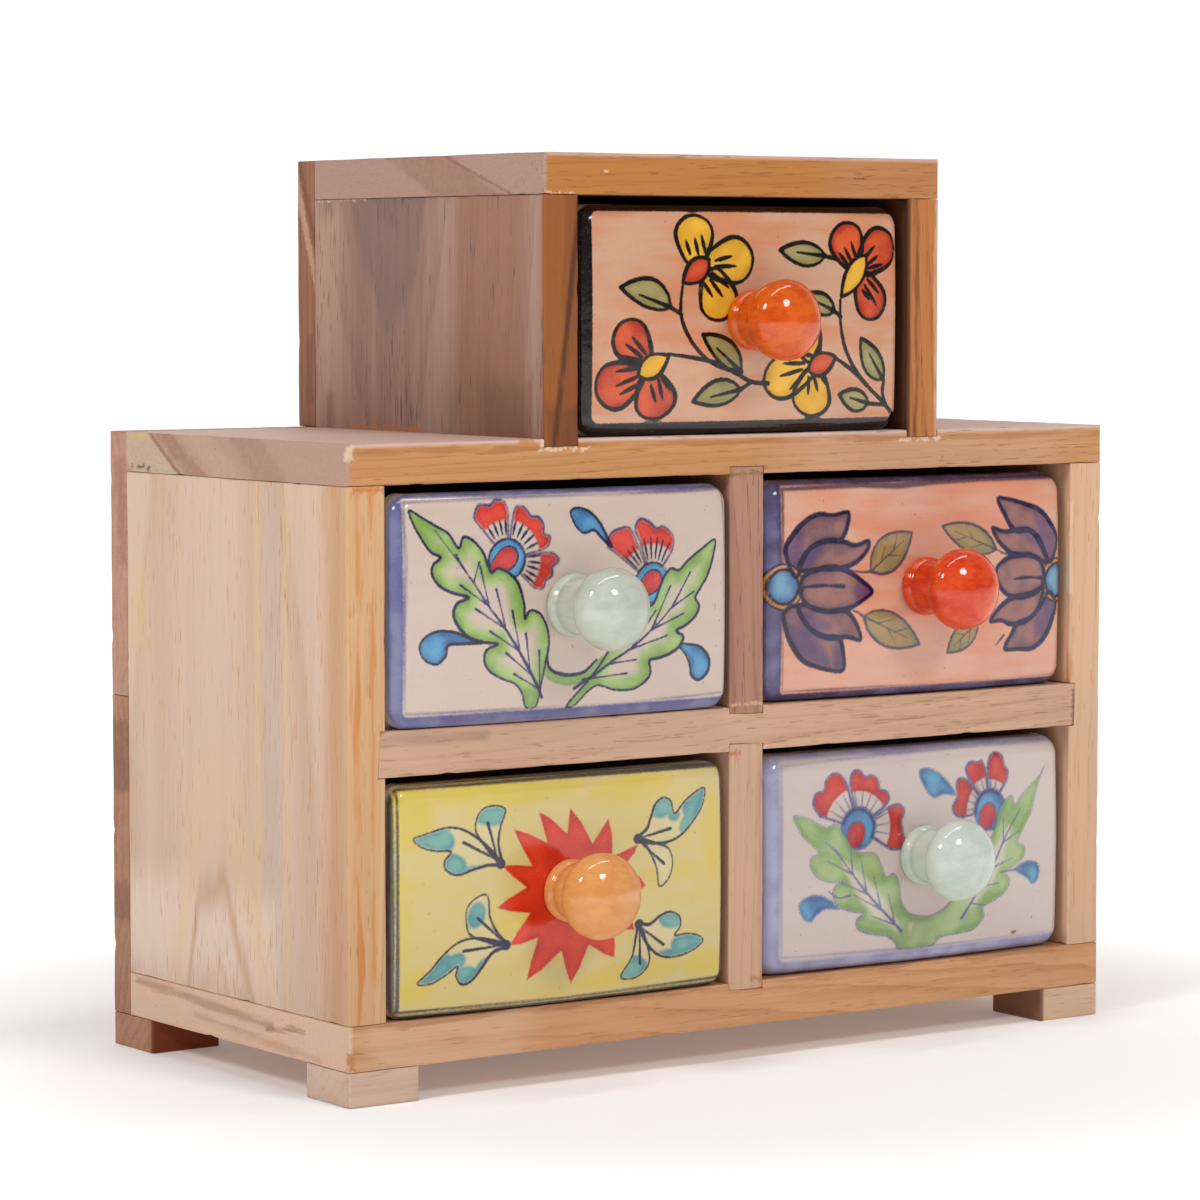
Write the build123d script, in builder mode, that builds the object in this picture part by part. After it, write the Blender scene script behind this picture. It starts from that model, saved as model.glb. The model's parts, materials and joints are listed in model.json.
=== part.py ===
from build123d import *
from math import cos, radians, sin
import os

# A stepped table chest in light hardwood boards: two rows of two ceramic drawers, with a narrower case
# of one drawer on top. Millimetres, +Z up, X along the front, the drawers pull out towards -Y.
# The origin is on the floor, in the middle of the space that the chest and its knobs take.

os.makedirs("parts", exist_ok=True)

# ---- driving dimensions: the lower case ----
case_w = 240.5          # outside width
case_d = 115.0          # front edges of the boards to the back of the back boards, both cases
foot_h = 8.7            # block feet
foot_w = 20.0           # each foot is square
base_t = 11.3           # bottom board
side_t = 10.7           # side boards
shelf_t = 11.4          # shelf between the two rows
divider_t = 10.8        # upright boards between left and right drawers
top_t = 10.2            # top board, which carries the upper case
back_t = 8.5            # back boards
lower_bay_h = 59.7      # clear height of the bottom row
middle_bay_h = 59.4     # clear height of the row above it
seam_rise = 0.9         # joint between the two back boards, above the top of the shelf

# ---- driving dimensions: the upper case ----
upper_w = 125.6         # outside width
upper_side_t = 10.2
upper_top_t = 10.4
upper_bay_h = 60.1

# ---- driving dimensions: board joints ----
housing = 2.0           # depth of the grooves that hold the ends of shelf, dividers and upper sides
glue_gap = 0.1          # room for glue on each side of a housed board
arris = 0.5             # softened corners of the top boards and feet

# ---- driving dimensions: slip-cast drawers ----
side_gap = 1.0          # drawer to bay wall, each side
top_gap = 2.2           # drawer front to the board above
home_gap = 0.5          # drawer to back board when pushed right in
home_proud = 1.2        # how far a crowned front then stands out of the case
crown = 2.2             # how far the middle of a front stands out past its side edges
front_t = 9.0           # front wall at its middle
tub_wall = 4.6
tub_floor = 4.8
tub_inset = 1.2         # tub walls stand in from the ends of the front
tub_drop = 8.0          # tub walls stop below the top of the front
tub_corner = 6.0        # outside upright corners at the back
tub_foot_round = 2.0    # bottom edges of the tub
tub_cove = 2.0          # inside corners between floor and walls
tub_draft = 1.5         # degrees that the inside opens upwards, so that the cast comes out of its mould
rim_round = 1.2
seat_depth = 0.4        # shallow recess that locates the knob
seat_gap = 0.15         # knob foot to the recess, all round

# ---- driving dimensions: knobs ----
collar_h = 3.6          # rounded collar against the drawer front
collar_bulge = 0.9      # collar swell past its foot
head_cut = 48.0         # degrees behind the head's widest circle where the neck runs into it
ROUND = 0.5523          # pull of the control points that makes a Bezier quarter as round as an ellipse

# ---- levels and planes worked out from them ----
half_w = case_w / 2
half_upper = upper_w / 2
base_z = foot_h
lower_bay_z = base_z + base_t
shelf_z = lower_bay_z + lower_bay_h
middle_bay_z = shelf_z + shelf_t
top_z = middle_bay_z + middle_bay_h
deck_z = top_z + top_t
cap_z = deck_z + upper_bay_h
full_h = cap_z + upper_top_t
bay_w = half_w - side_t - divider_t / 2
bay_x = divider_t / 2 + bay_w / 2
bay_d = case_d - back_t
upper_bay_w = upper_w - 2 * upper_side_t

# name: bay centre x, bay floor z, bay width, bay height, how far the front now stands out,
#       rolled edge of the front, outline corners of the front
drawers = {
    "top": (0, deck_z, upper_bay_w, upper_bay_h, home_proud, 4.0, 5.5),
    "upper_left": (-bay_x, middle_bay_z, bay_w, middle_bay_h, home_proud + 3.0, 3.8, 5.2),
    "upper_right": (bay_x, middle_bay_z, bay_w, middle_bay_h, home_proud, 4.2, 5.5),
    "lower_left": (-bay_x, lower_bay_z, bay_w, lower_bay_h, home_proud + 1.4, 3.2, 4.5),
    "lower_right": (bay_x, lower_bay_z, bay_w, lower_bay_h, home_proud, 4.2, 5.5),
}
# name: foot radius, neck radius, head radius, length of the head before and behind its widest circle,
#       that circle to the drawer front
knobs = {
    "top": (6.9, 6.6, 10.3, 6.7, 9.0, 14.6),
    "upper_left": (7.2, 7.2, 10.4, 7.4, 9.5, 16.8),
    "upper_right": (6.9, 6.4, 10.8, 7.1, 6.0, 16.0),
    "lower_left": (7.1, 6.6, 10.9, 7.2, 6.5, 14.3),
    "lower_right": (7.1, 6.8, 10.8, 6.8, 6.0, 15.3),
}
knob_reach = max(drawers[name][4] + knobs[name][3] + knobs[name][5] for name in drawers)
front_y = (knob_reach - case_d) / 2
bay_back_y = front_y + bay_d
back_y = front_y + case_d


def board(x, y, z, mode=Mode.ADD):
    """A board, or the groove cut for one, between two x, two y and two z planes."""
    size = (x[1] - x[0], y[1] - y[0], z[1] - z[0])
    with Locations((x[0], y[0], z[0])):
        Box(*size, align=(Align.MIN, Align.MIN, Align.MIN), mode=mode)


def soften(part, axis, end):
    """Rounds the outline of a board's face at one end of an axis."""
    fillet(part.faces().sort_by(axis)[end].edges(), arris)


def finish(part, name):
    part.part.label = name
    export_step(part.part, f"parts/{name}.step")


run_y = (front_y, bay_back_y)                       # boards run from the front to the back boards
back_run = (bay_back_y, back_y)
full_x = (-half_w, half_w)
upper_x = (-half_upper, half_upper)
divider_x = (-divider_t / 2, divider_t / 2)
divider_groove_x = (divider_x[0] - glue_gap, divider_x[1] + glue_gap)

# ---- lower case ----
with BuildPart() as lower_bottom:
    board(full_x, run_y, (base_z, lower_bay_z))
    board(divider_groove_x, run_y, (lower_bay_z - housing, lower_bay_z), Mode.SUBTRACT)
finish(lower_bottom, "lower_bottom")

for name, sign in (("left", -1), ("right", 1)):
    outer_x, inner_x = sign * half_w, sign * (half_w - side_t)
    groove_x = sign * (half_w - side_t + housing)
    with BuildPart() as lower_side:
        board(sorted((outer_x, inner_x)), run_y, (lower_bay_z, top_z))
        board(sorted((inner_x, groove_x)), run_y, (shelf_z - glue_gap, middle_bay_z + glue_gap), Mode.SUBTRACT)
    finish(lower_side, f"lower_{name}_side")

with BuildPart() as shelf:
    shelf_half = half_w - side_t + housing
    board((-shelf_half, shelf_half), run_y, (shelf_z, middle_bay_z))
    board(divider_groove_x, run_y, (middle_bay_z - housing, middle_bay_z), Mode.SUBTRACT)
    board(divider_groove_x, run_y, (shelf_z, shelf_z + housing), Mode.SUBTRACT)
finish(shelf, "shelf")

with BuildPart() as lower_divider:
    board(divider_x, run_y, (lower_bay_z - housing, shelf_z + housing))
finish(lower_divider, "lower_divider")

with BuildPart() as upper_divider:
    board(divider_x, run_y, (middle_bay_z - housing, top_z + housing))
finish(upper_divider, "upper_divider")

with BuildPart() as lower_top:
    board(full_x, run_y, (top_z, deck_z))
    soften(lower_top, Axis.Y, 0)
    board(divider_groove_x, run_y, (top_z, top_z + housing), Mode.SUBTRACT)
    for sign in (-1, 1):
        groove = sorted((sign * (half_upper + glue_gap), sign * (half_upper - upper_side_t - glue_gap)))
        board(groove, run_y, (deck_z - housing, deck_z), Mode.SUBTRACT)
finish(lower_top, "lower_top")

seam_z = middle_bay_z + seam_rise
for name, z in (("lower_back_lower_board", (base_z, seam_z)), ("lower_back_upper_board", (seam_z, deck_z))):
    with BuildPart() as back_board:
        board(full_x, back_run, z)
    finish(back_board, name)

foot_rows = {"front": (front_y, front_y + foot_w), "rear": (back_y - foot_w, back_y)}
foot_columns = {"left": (-half_w, foot_w - half_w), "right": (half_w - foot_w, half_w)}
for row, y in foot_rows.items():
    for column, x in foot_columns.items():
        with BuildPart() as foot:
            board(x, y, (0, foot_h))
            soften(foot, Axis.Z, 0)
        finish(foot, f"foot_{row}_{column}")

# ---- upper case ----
for name, sign in (("left", -1), ("right", 1)):
    with BuildPart() as upper_side:
        board(sorted((sign * half_upper, sign * (half_upper - upper_side_t))), run_y, (deck_z - housing, cap_z))
    finish(upper_side, f"upper_{name}_side")

with BuildPart() as upper_top:
    board(upper_x, run_y, (cap_z, full_h))
    soften(upper_top, Axis.Y, 0)
finish(upper_top, "upper_top")

with BuildPart() as upper_back:
    board(upper_x, back_run, (deck_z, full_h))
finish(upper_back, "upper_back")


# ---- drawers ----
def cast_drawer(x, z, width, height, proud, roll, corner, foot_r):
    """A drawer cast in one piece: a crowned front with a rolled edge, and an open tub behind it."""
    nose_y = front_y - proud                        # middle of the crowned front
    tub_w = width - 2 * tub_inset
    tub_h = height - tub_drop
    tub_back_y = nose_y + home_proud + bay_d - home_gap
    inside_y = nose_y + front_t
    half = width / 2
    crown_r = (half**2 + crown**2) / (2 * crown)    # sphere through the middle and the side edges
    middle = z + height / 2
    with BuildPart() as drawer:
        with BuildSketch(Plane.XY.offset(z)):
            with Locations((x, (nose_y + front_t / 2 + tub_back_y) / 2)):
                RectangleRounded(tub_w, tub_back_y - nose_y - front_t / 2, tub_corner)
        extrude(amount=tub_h)
        fillet(drawer.faces().sort_by(Axis.Z)[0].edges(), tub_foot_round)
        with BuildSketch(Plane((x, nose_y + front_t, middle), x_dir=(1, 0, 0), z_dir=(0, -1, 0))):
            RectangleRounded(width, height, corner)
        extrude(amount=front_t)
        with Locations((x, nose_y + crown_r, middle)):
            Sphere(crown_r, mode=Mode.INTERSECT)
        fillet(drawer.faces().sort_by(Axis.Y)[0].edges(), roll)
        with BuildSketch(Plane.XY.offset(z + tub_floor)):
            with Locations((x, (inside_y + tub_back_y - tub_wall) / 2)):
                RectangleRounded(tub_w - 2 * tub_wall, tub_back_y - tub_wall - inside_y, tub_corner - tub_wall / 2)
        extrude(amount=height, taper=-tub_draft, mode=Mode.SUBTRACT)
        fillet(drawer.edges().filter_by_position(Axis.Z, z + tub_floor, z + tub_floor), tub_cove)
        rim = drawer.edges().filter_by_position(Axis.Z, z + tub_h, z + tub_h)
        fillet(rim.filter_by_position(Axis.Y, inside_y + rim_round, tub_back_y), rim_round)
        with BuildSketch(Plane((x, nose_y + seat_depth, middle), x_dir=(1, 0, 0), z_dir=(0, -1, 0))):
            Circle(foot_r + seat_gap)
        extrude(amount=roll, mode=Mode.SUBTRACT)
    return drawer


def turned_knob(x, z, proud, foot_r, neck_r, head_r, head_len, back_len, head_y):
    """A knob with a rounded collar, a waisted neck and a flattened ball for its head."""
    seat = (x, front_y - proud + seat_depth, z)
    head_h = head_y + seat_depth
    under = Vector(head_r * cos(radians(head_cut)), head_h - back_len * sin(radians(head_cut)))
    with BuildPart() as knob:
        with BuildSketch(Plane(seat, x_dir=(1, 0, 0), z_dir=(0, 0, -1))):
            with BuildLine():
                bead = ThreePointArc((foot_r, 0), (foot_r + collar_bulge, collar_h / 2), (foot_r, collar_h))
                waist = (neck_r, (collar_h + under.Y) / 2)
                Spline(bead @ 1, waist, under, (head_r, head_h), tangents=((0, 1), (0, 1)))
                dome = Bezier(
                    (head_r, head_h),
                    (head_r, head_h + ROUND * head_len),
                    (ROUND * head_r, head_h + head_len),
                    (0, head_h + head_len),
                )
                Polyline(dome @ 1, (0, 0), bead @ 0)
            make_face()
        revolve(axis=Axis(seat, (0, -1, 0)))
    return knob


for name, (x, z, wide, high, proud, roll, corner) in drawers.items():
    width = wide - 2 * side_gap
    height = high - top_gap
    foot_r = knobs[name][0]
    finish(cast_drawer(x, z, width, height, proud, roll, corner, foot_r), f"drawer_{name}")
    finish(turned_knob(x, z + height / 2, proud, *knobs[name]), f"knob_{name}")
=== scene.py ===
import json
import math
import bmesh
import bpy
import numpy as np
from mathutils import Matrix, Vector


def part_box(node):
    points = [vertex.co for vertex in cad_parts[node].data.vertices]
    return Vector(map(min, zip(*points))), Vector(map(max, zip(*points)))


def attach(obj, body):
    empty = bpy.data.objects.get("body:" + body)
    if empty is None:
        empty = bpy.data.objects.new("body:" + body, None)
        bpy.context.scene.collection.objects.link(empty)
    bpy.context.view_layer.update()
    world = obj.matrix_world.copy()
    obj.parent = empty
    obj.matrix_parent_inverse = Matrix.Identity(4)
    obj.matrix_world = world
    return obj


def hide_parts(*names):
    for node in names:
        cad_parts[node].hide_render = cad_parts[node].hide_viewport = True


# A stepped table chest of glued hardwood boards with five painted, glazed drawers. Metres, in the frame of
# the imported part. Painted shapes are given in millimetres on their drawer's front: u to the right and v up
# from its middle. Colours are given as screen values from 0 to 255.

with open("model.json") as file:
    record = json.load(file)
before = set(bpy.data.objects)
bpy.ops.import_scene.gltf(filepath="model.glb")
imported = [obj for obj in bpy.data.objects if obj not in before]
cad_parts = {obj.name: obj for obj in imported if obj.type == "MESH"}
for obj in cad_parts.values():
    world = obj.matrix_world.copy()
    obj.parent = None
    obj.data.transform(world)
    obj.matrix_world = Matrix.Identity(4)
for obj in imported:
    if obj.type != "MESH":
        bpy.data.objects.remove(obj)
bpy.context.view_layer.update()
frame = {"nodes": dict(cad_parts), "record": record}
nodes = frame["nodes"]
bodies = frame["record"]["behaviour"]["bodies"]
MM = 0.001
IN_MM = 1000.0              # counts metres in millimetres
WELD = 2e-6                 # corners closer than this are one
X, Y, Z = 0, 1, 2

# camera, at the photograph's angle
LENS = 134.17
SENSOR = 36.0
CAMERA_AT = (-0.69185, -0.94722, 0.20099)
CAMERA_TURN = (85.844, 0.0, -35.546)        # degrees

# light
ROOM = 0.22                 # brightness of the room in front of the chest
BACKDROP = 1.05             # brightness of the backdrop behind it
BACKDROP_WAY = (0.58, 0.81, 0.0)
BACKDROP_EDGE = (0.35, 0.8)                 # cosines between which the room turns into the backdrop
LAMP_AIM = Vector((0, 0, 0.12))
LAMPS = (
    # name, way from the chest, distance, width, depth of a strip or None for a disk, watts
    ("left_lamp", (-0.766, -0.235, 0.598), 1.5, 0.34, None, 6.9),
    ("front_lamp", (0.081, -0.816, 0.573), 1.5, 0.34, None, 5.3),
    ("overhead", (0.02, -0.20, 0.98), 1.3, 1.3, 0.12, 4.4))

# floor
FLOOR_HALF = 6.0
PAPER = (0.93, 0.93, 0.93, 1)
GLOW = (0.13, 0.36, 0.14, 0.80)             # the paper's glow rises over a distance: from, to, least, most


# ---- small helpers ----
def rgb(color):
    """A colour's linear values from its screen values."""
    def linear(value):
        value /= 255
        return value / 12.92 if value <= 0.04045 else ((value + 0.055) / 1.055) ** 2.4
    return tuple(linear(value) for value in color) + (1.0,)


def add_object(name, data):
    item = bpy.data.objects.new(name, data)
    bpy.context.scene.collection.objects.link(item)
    return item


def add_piece(name, mesh, node, material):
    """A modelled piece that stands for a CAD node and moves with its body."""
    piece = add_object(name, mesh)
    mesh.materials.clear()
    mesh.materials.append(material)
    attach(piece, next(body for body, members in bodies.items() if node in members))
    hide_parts(node)
    return piece


class Graph:
    """Short ways to build the nodes of a material or world around its shader."""

    def __init__(self, owner, shader="Principled BSDF"):
        owner.use_nodes = True
        self.owner = owner
        self.tree = owner.node_tree
        self.shader = self.tree.nodes[shader]

    def add(self, kind, inputs=None, **settings):
        node = self.tree.nodes.new(kind)
        for key, value in settings.items():
            setattr(node, key, value)
        for key, value in (inputs or {}).items():
            self.put(node.inputs[key], value)
        return node

    def put(self, socket, value):
        if isinstance(value, bpy.types.NodeSocket):
            self.tree.links.new(value, socket)
        else:
            socket.default_value = value

    def feed(self, **inputs):
        """Gives the shader its inputs; an underscore in a name stands for a space."""
        for key, value in inputs.items():
            self.put(self.shader.inputs[key.replace("_", " ")], value)

    def math(self, operation, first, second=0.0, clamp=False):
        inputs = {0: first, 1: second}
        return self.add("ShaderNodeMath", inputs, operation=operation, use_clamp=clamp).outputs[0]

    def plus(self, first, second, clamp=False):
        return self.math("ADD", first, second, clamp)

    def minus(self, first, second):
        return self.math("SUBTRACT", first, second)

    def times(self, first, second):
        return self.math("MULTIPLY", first, second)

    def fit(self, value, low, high, start=0.0, end=1.0):
        """Maps low..high to start..end with soft ends, and clamps."""
        inputs = {"Value": value, "From Min": low, "From Max": high, "To Min": start, "To Max": end}
        return self.add("ShaderNodeMapRange", inputs, interpolation_type="SMOOTHSTEP").outputs[0]

    def mix(self, factor, first, second):
        return self.add("ShaderNodeMix", {0: factor, 6: first, 7: second}, data_type="RGBA").outputs[2]

    def attribute(self, name):
        return self.add("ShaderNodeAttribute", attribute_name=name).outputs["Fac"]

    def place(self, counts=(IN_MM, IN_MM, IN_MM), offset=(0, 0, 0)):
        """Object coordinates, counted in so many units a metre along each axis."""
        coordinates = self.add("ShaderNodeTexCoord").outputs["Object"]
        inputs = {"Vector": coordinates, "Scale": counts, "Location": offset}
        return self.add("ShaderNodeMapping", inputs).outputs[0]

    def noise(self, offset, scale, detail=3.0, rough=0.55, twist=0.0, counts=(IN_MM, IN_MM, IN_MM)):
        """Noise with so many waves a unit, drawn out along an axis whose count is low."""
        inputs = {"Vector": self.place(counts, offset), "Scale": scale, "Detail": detail, "Roughness": rough,
                  "Distortion": twist}
        return self.add("ShaderNodeTexNoise", inputs).outputs["Fac"]

    def bump(self, height, strength, distance):
        inputs = {"Height": height, "Strength": strength, "Distance": distance}
        self.feed(Normal=self.add("ShaderNodeBump", inputs).outputs[0])


def new_graph(name):
    return Graph(bpy.data.materials.new(name))


# ---- camera and light ----
def add_camera():
    data = bpy.data.cameras.new("camera")
    data.lens = LENS
    data.sensor_width = SENSOR
    camera = add_object("camera", data)
    camera.location = CAMERA_AT
    camera.rotation_euler = [math.radians(angle) for angle in CAMERA_TURN]
    bpy.context.scene.camera = camera


def add_lamp(name, way, distance, width, depth, watts):
    """A soft box that faces the chest."""
    data = bpy.data.lights.new(name, "AREA")
    data.energy = watts
    data.size = width
    if depth:
        data.shape = "RECTANGLE"
        data.size_y = depth
    else:
        data.shape = "DISK"
    lamp = add_object(name, data)
    away = Vector(way).normalized()
    lamp.location = LAMP_AIM + away * distance
    lamp.rotation_euler = away.to_track_quat("Z", "Y").to_euler()


def add_stage():
    """A flat white floor whose glow, painted light, gets brighter towards its far edge, as a lit studio sweep
    does.
    """
    mesh = bpy.data.meshes.new("stage_floor")
    corners_at = [(u * FLOOR_HALF, v * FLOOR_HALF, 0) for u, v in ((-1, -1), (1, -1), (1, 1), (-1, 1))]
    mesh.from_pydata(corners_at, [], [(0, 1, 2, 3)])
    floor = add_object("stage_floor", mesh)
    paper = new_graph("stage_paper")
    away = paper.add("ShaderNodeVectorMath", {0: paper.place((1, 1, 1))}, operation="LENGTH")
    paper.feed(Base_Color=PAPER, Roughness=0.9, Specular_IOR_Level=0.1, Emission_Color=(1, 1, 1, 1),
               Emission_Strength=paper.fit(away.outputs["Value"], *GLOW))
    mesh.materials.append(paper.owner)


def add_light():
    """Two soft boxes, a strip overhead, a dim room in front and a white backdrop behind the chest."""
    world = Graph(bpy.data.worlds.new("world"), "Background")
    direction = world.add("ShaderNodeTexCoord").outputs["Generated"]
    towards = world.add("ShaderNodeVectorMath", {0: direction, 1: BACKDROP_WAY}, operation="DOT_PRODUCT")
    level = world.fit(towards.outputs["Value"], *BACKDROP_EDGE, ROOM, BACKDROP)
    world.feed(Color=(1, 1, 1, 1), Strength=level)
    scene = bpy.context.scene
    scene.world = world.owner
    scene.view_settings.view_transform = "Standard"
    scene.view_settings.look = "None"
    for lamp in LAMPS:
        add_lamp(*lamp)


# ---- wood ----
def wood(name, grain, colors, spacing=3.5, pith=(0, 25), drift=0.035, phase=0.0, rings=0.5, streaks=0.35,
         pores=0.4, wander=1.0, seed=0, crowded=None, bands=(), tints=(), stains=()):
    """Solid wood. Growth rings run round a pith line along the grain, so faces and ends agree.

    grain is the axis along the board, colors its light, dark and pore colour, pith the place of the ring
    centre in mm on the two other axes, spacing the ring width in mm and drift how fast the rings widen along
    the board, which draws the arches. rings, streaks, pores and wander are how strongly these show.
    crowded = (axis, low, high) is where the pores stand close. bands are (from, to, colour, amount, softness)
    in ring radius, tints and stains are areas of another colour: see tint()."""
    g = new_graph(name)
    light, dark, pore = (rgb(color) for color in colors)
    shift = (seed * 37.1, seed * 11.3, seed * 5.7)      # each board is cut from another place in the noise
    turned = (shift[1], shift[2], shift[0])

    def drawn_out(count, offset, *settings):
        """Noise drawn out along the grain."""
        counts = [IN_MM, IN_MM, IN_MM]
        counts[grain] = count
        return g.noise(offset, *settings, counts=counts)

    # rings: the distance from the pith line, bent a little, cut into ring widths that darken to their end
    wide_bend = g.minus(drawn_out(120, shift, 0.03, 2), 0.5)
    small_bend = g.minus(drawn_out(120, turned, 0.12, 3), 0.5)
    wobble = g.plus(g.times(wide_bend, 8 * wander), g.times(small_bend, 2 * wander))
    split = g.add("ShaderNodeSeparateXYZ", {0: g.place()})
    across = [split.outputs[axis] for axis in (X, Y, Z) if axis != grain]
    first = g.minus(across[0], pith[0])
    second = g.minus(across[1], pith[1])
    square = g.plus(g.times(first, first), g.times(second, second))
    slope = g.plus(g.times(split.outputs[grain], drift), phase)
    radius = g.plus(g.plus(g.math("SQRT", square), slope), wobble)
    ring = g.math("FRACT", g.math("DIVIDE", radius, spacing))
    late = g.times(g.math("POWER", ring, 2.6), g.fit(ring, 0.90, 1.0, 1.0, 0.0))

    # fibres, broad streaks, and pores that gather in patches and in the dark of each ring
    fibre = drawn_out(22, shift, 1.9, 4, 0.65)
    broad = drawn_out(12, turned, 0.30, 3, 0.6)
    holes = drawn_out(60, turned, 2.4, 1, 0.4)
    close = g.fit(drawn_out(120, turned, 0.05, 2), 0.42, 0.62)
    if crowded:
        axis, low, high = crowded
        edge = 3
        above = g.fit(split.outputs[axis], low - edge, low + edge)
        below = g.fit(split.outputs[axis], high - edge, high + edge, 1.0, 0.0)
        close = g.math("MAXIMUM", close, g.times(above, below))
    gather = g.times(g.plus(g.times(close, 0.6), late), 0.085)
    hole_mask = g.fit(g.plus(holes, gather), 0.71, 0.75, 0.0, pores)
    cloud = drawn_out(120, turned, 0.045, 2)

    # from the light colour to the dark one, then the areas of other colours
    tone = g.times(late, rings)
    tone = g.plus(tone, g.times(g.minus(broad, 0.5), streaks * 3.0))
    tone = g.plus(tone, g.times(g.minus(fibre, 0.5), streaks * 2.2))
    tone = g.plus(tone, g.times(g.minus(cloud, 0.42), 1.3), clamp=True)
    color = g.mix(tone, light, dark)
    for area in tints:
        color = tint(g, color, split, fibre, **area)
    for start, end, shade, amount, soft in bands:
        mask = g.times(g.fit(radius, start - soft, start + soft, 0.0, amount),
                       g.fit(radius, end - soft, end + soft, 1.0, 0.0))
        color = g.mix(mask, color, rgb(shade))
    color = g.mix(hole_mask, color, pore)
    for area in stains:
        color = tint(g, color, split, fibre, **area)
    g.feed(Base_Color=color, Roughness=g.plus(0.5, g.times(fibre, 0.22)), Specular_IOR_Level=0.3)
    g.bump(g.minus(g.times(fibre, 0.7), g.times(hole_mask, 0.8)), 0.22, 0.0003)
    return g.owner


def tint(g, color, split, fibre, shade, at, size, soft, amount, ragged, grainy=None, lean=None):
    """Lays a colour over a box shaped area, in mm, with ragged soft edges and some of the grain left in it.

    at and size give its middle and half size, None where it runs right through. grainy is the axis along
    which the edge is drawn out. lean = (axis, by, about, rate) slides the middle along one axis by a rate for
    each mm that another is away from about."""
    shade = rgb(shade)
    distance = None
    for axis in (X, Y, Z):
        if at[axis] is None:
            continue
        middle = g.minus(split.outputs[axis], at[axis])
        if lean and lean[0] == axis:
            along = g.minus(split.outputs[lean[1]], lean[2])
            middle = g.minus(middle, g.times(along, lean[3]))
        gap = g.minus(g.math("ABSOLUTE", middle), size[axis])
        distance = gap if distance is None else g.math("MAXIMUM", distance, gap)
    if ragged:
        counts = [IN_MM, IN_MM, IN_MM]
        if grainy is not None:
            counts[grainy] = 110.0
        rag = g.noise([3.0 if value is None else value for value in at], 0.9 / ragged, counts=counts)
        distance = g.plus(distance, g.times(g.minus(rag, 0.5), ragged * 3.0))
    mask = g.fit(distance, -soft, soft, amount, 0.0)
    darker = [value * 0.62 for value in shade[:3]] + [1.0]
    return g.mix(mask, color, g.mix(g.fit(fibre, 0.3, 0.7, 0.0, 0.22), shade, darker))


def finished(work, name):
    """The mesh that a bmesh holds, which is then freed."""
    mesh = bpy.data.meshes.new(name)
    work.to_mesh(mesh)
    work.free()
    return mesh


def cad_mesh(node):
    """A CAD node's mesh to work on, with its doubled corners welded."""
    work = bmesh.new()
    work.from_mesh(nodes[node].data)
    bmesh.ops.remove_doubles(work, verts=work.verts, dist=WELD)
    return work


EDGE_WEAR = 0.35 * MM       # width of the rounded edges of a board, and depth of their wear
WEAR_STEP = 2.5 * MM        # how finely worn edges are cut
SHORT = 30 * MM             # shorter sides stay as they are


def board_mesh(node, seed):
    """A board with the CAD node's shape, its corners rounded over and a little worn and chipped."""
    work = cad_mesh(node)
    flat = math.radians(1.0)
    bmesh.ops.dissolve_limit(work, angle_limit=flat, verts=work.verts, edges=work.edges)
    sharp = [edge for edge in work.edges if len(edge.link_faces) == 2
             and edge.calc_face_angle() > math.radians(60) and edge.calc_length() > 3 * MM]
    bmesh.ops.bevel(work, geom=sharp, offset=EDGE_WEAR, segments=2, profile=0.6, affect="EDGES",
                    clamp_overlap=True)
    low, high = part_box(node)
    for axis in (X, Y, Z):
        length = high[axis] - low[axis]
        if length < SHORT:
            continue
        count = int(length / WEAR_STEP)
        normal = [0.0, 0.0, 0.0]
        normal[axis] = 1.0
        for i in range(1, count):
            place = [0.0, 0.0, 0.0]
            place[axis] = low[axis] + length * i / count
            everything = work.verts[:] + work.edges[:] + work.faces[:]
            bmesh.ops.bisect_plane(work, geom=everything, plane_co=place, plane_no=normal, dist=1e-7)
    work.normal_update()
    middle = (low + high) / 2
    half = (high - low) / 2
    waves = 12
    phase = np.random.default_rng(seed).uniform(0, 6.28, waves)
    for vert in work.verts:
        inward = middle - vert.co
        near = [axis for axis in (X, Y, Z) if half[axis] - abs(inward[axis]) < 1.6 * EDGE_WEAR]
        if len(near) < 2:
            continue
        run = sum(vert.co[axis] * IN_MM for axis in (X, Y, Z) if axis not in near)
        sides = (1 if inward[near[0]] > 0 else 0) + (2 if inward[near[1]] > 0 else 0)
        which = sum(3 * axis for axis in near) + sides
        slow = math.sin(run * 0.077 + phase[(which + 5) % waves])
        wave = math.sin(run * 0.21 + phase[which % waves]) * slow
        nick = max(0.0, math.sin(run * 0.93 + phase[(which + 3) % waves]) * wave - 0.55)
        worn = EDGE_WEAR * (0.25 * (0.5 + 0.5 * wave) + 1.6 * nick)
        for axis in near:
            vert.co[axis] += math.copysign(worn, inward[axis])
    mesh = finished(work, node)
    for polygon in mesh.polygons:
        polygon.use_smooth = max(abs(value) for value in polygon.normal) < 0.995
    return mesh


# ---- curves for painted shapes ----
def curve(points, closed=True, steps=7):
    """A smooth line through points (Catmull-Rom)."""
    points = np.asarray(points, float)
    count = len(points)
    if closed:
        ring = np.concatenate([points[-1:], points, points[:2]])
    else:
        ring = np.concatenate([2 * points[:1] - points[1:2], points, 2 * points[-1:] - points[-2:-1]])
    spans = count if closed else count - 1
    t = np.linspace(0, 1, steps, endpoint=False)[:, None]
    out = []
    for i in range(spans):
        a, b, c, d = ring[i:i + 4]
        square = 2 * a - 5 * b + 4 * c - d
        cube = 3 * b - a - 3 * c + d
        out.append(0.5 * (2 * b + (c - a) * t + square * t**2 + cube * t**3))
    if not closed:
        out.append(points[-1:])
    return np.concatenate(out)


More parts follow.
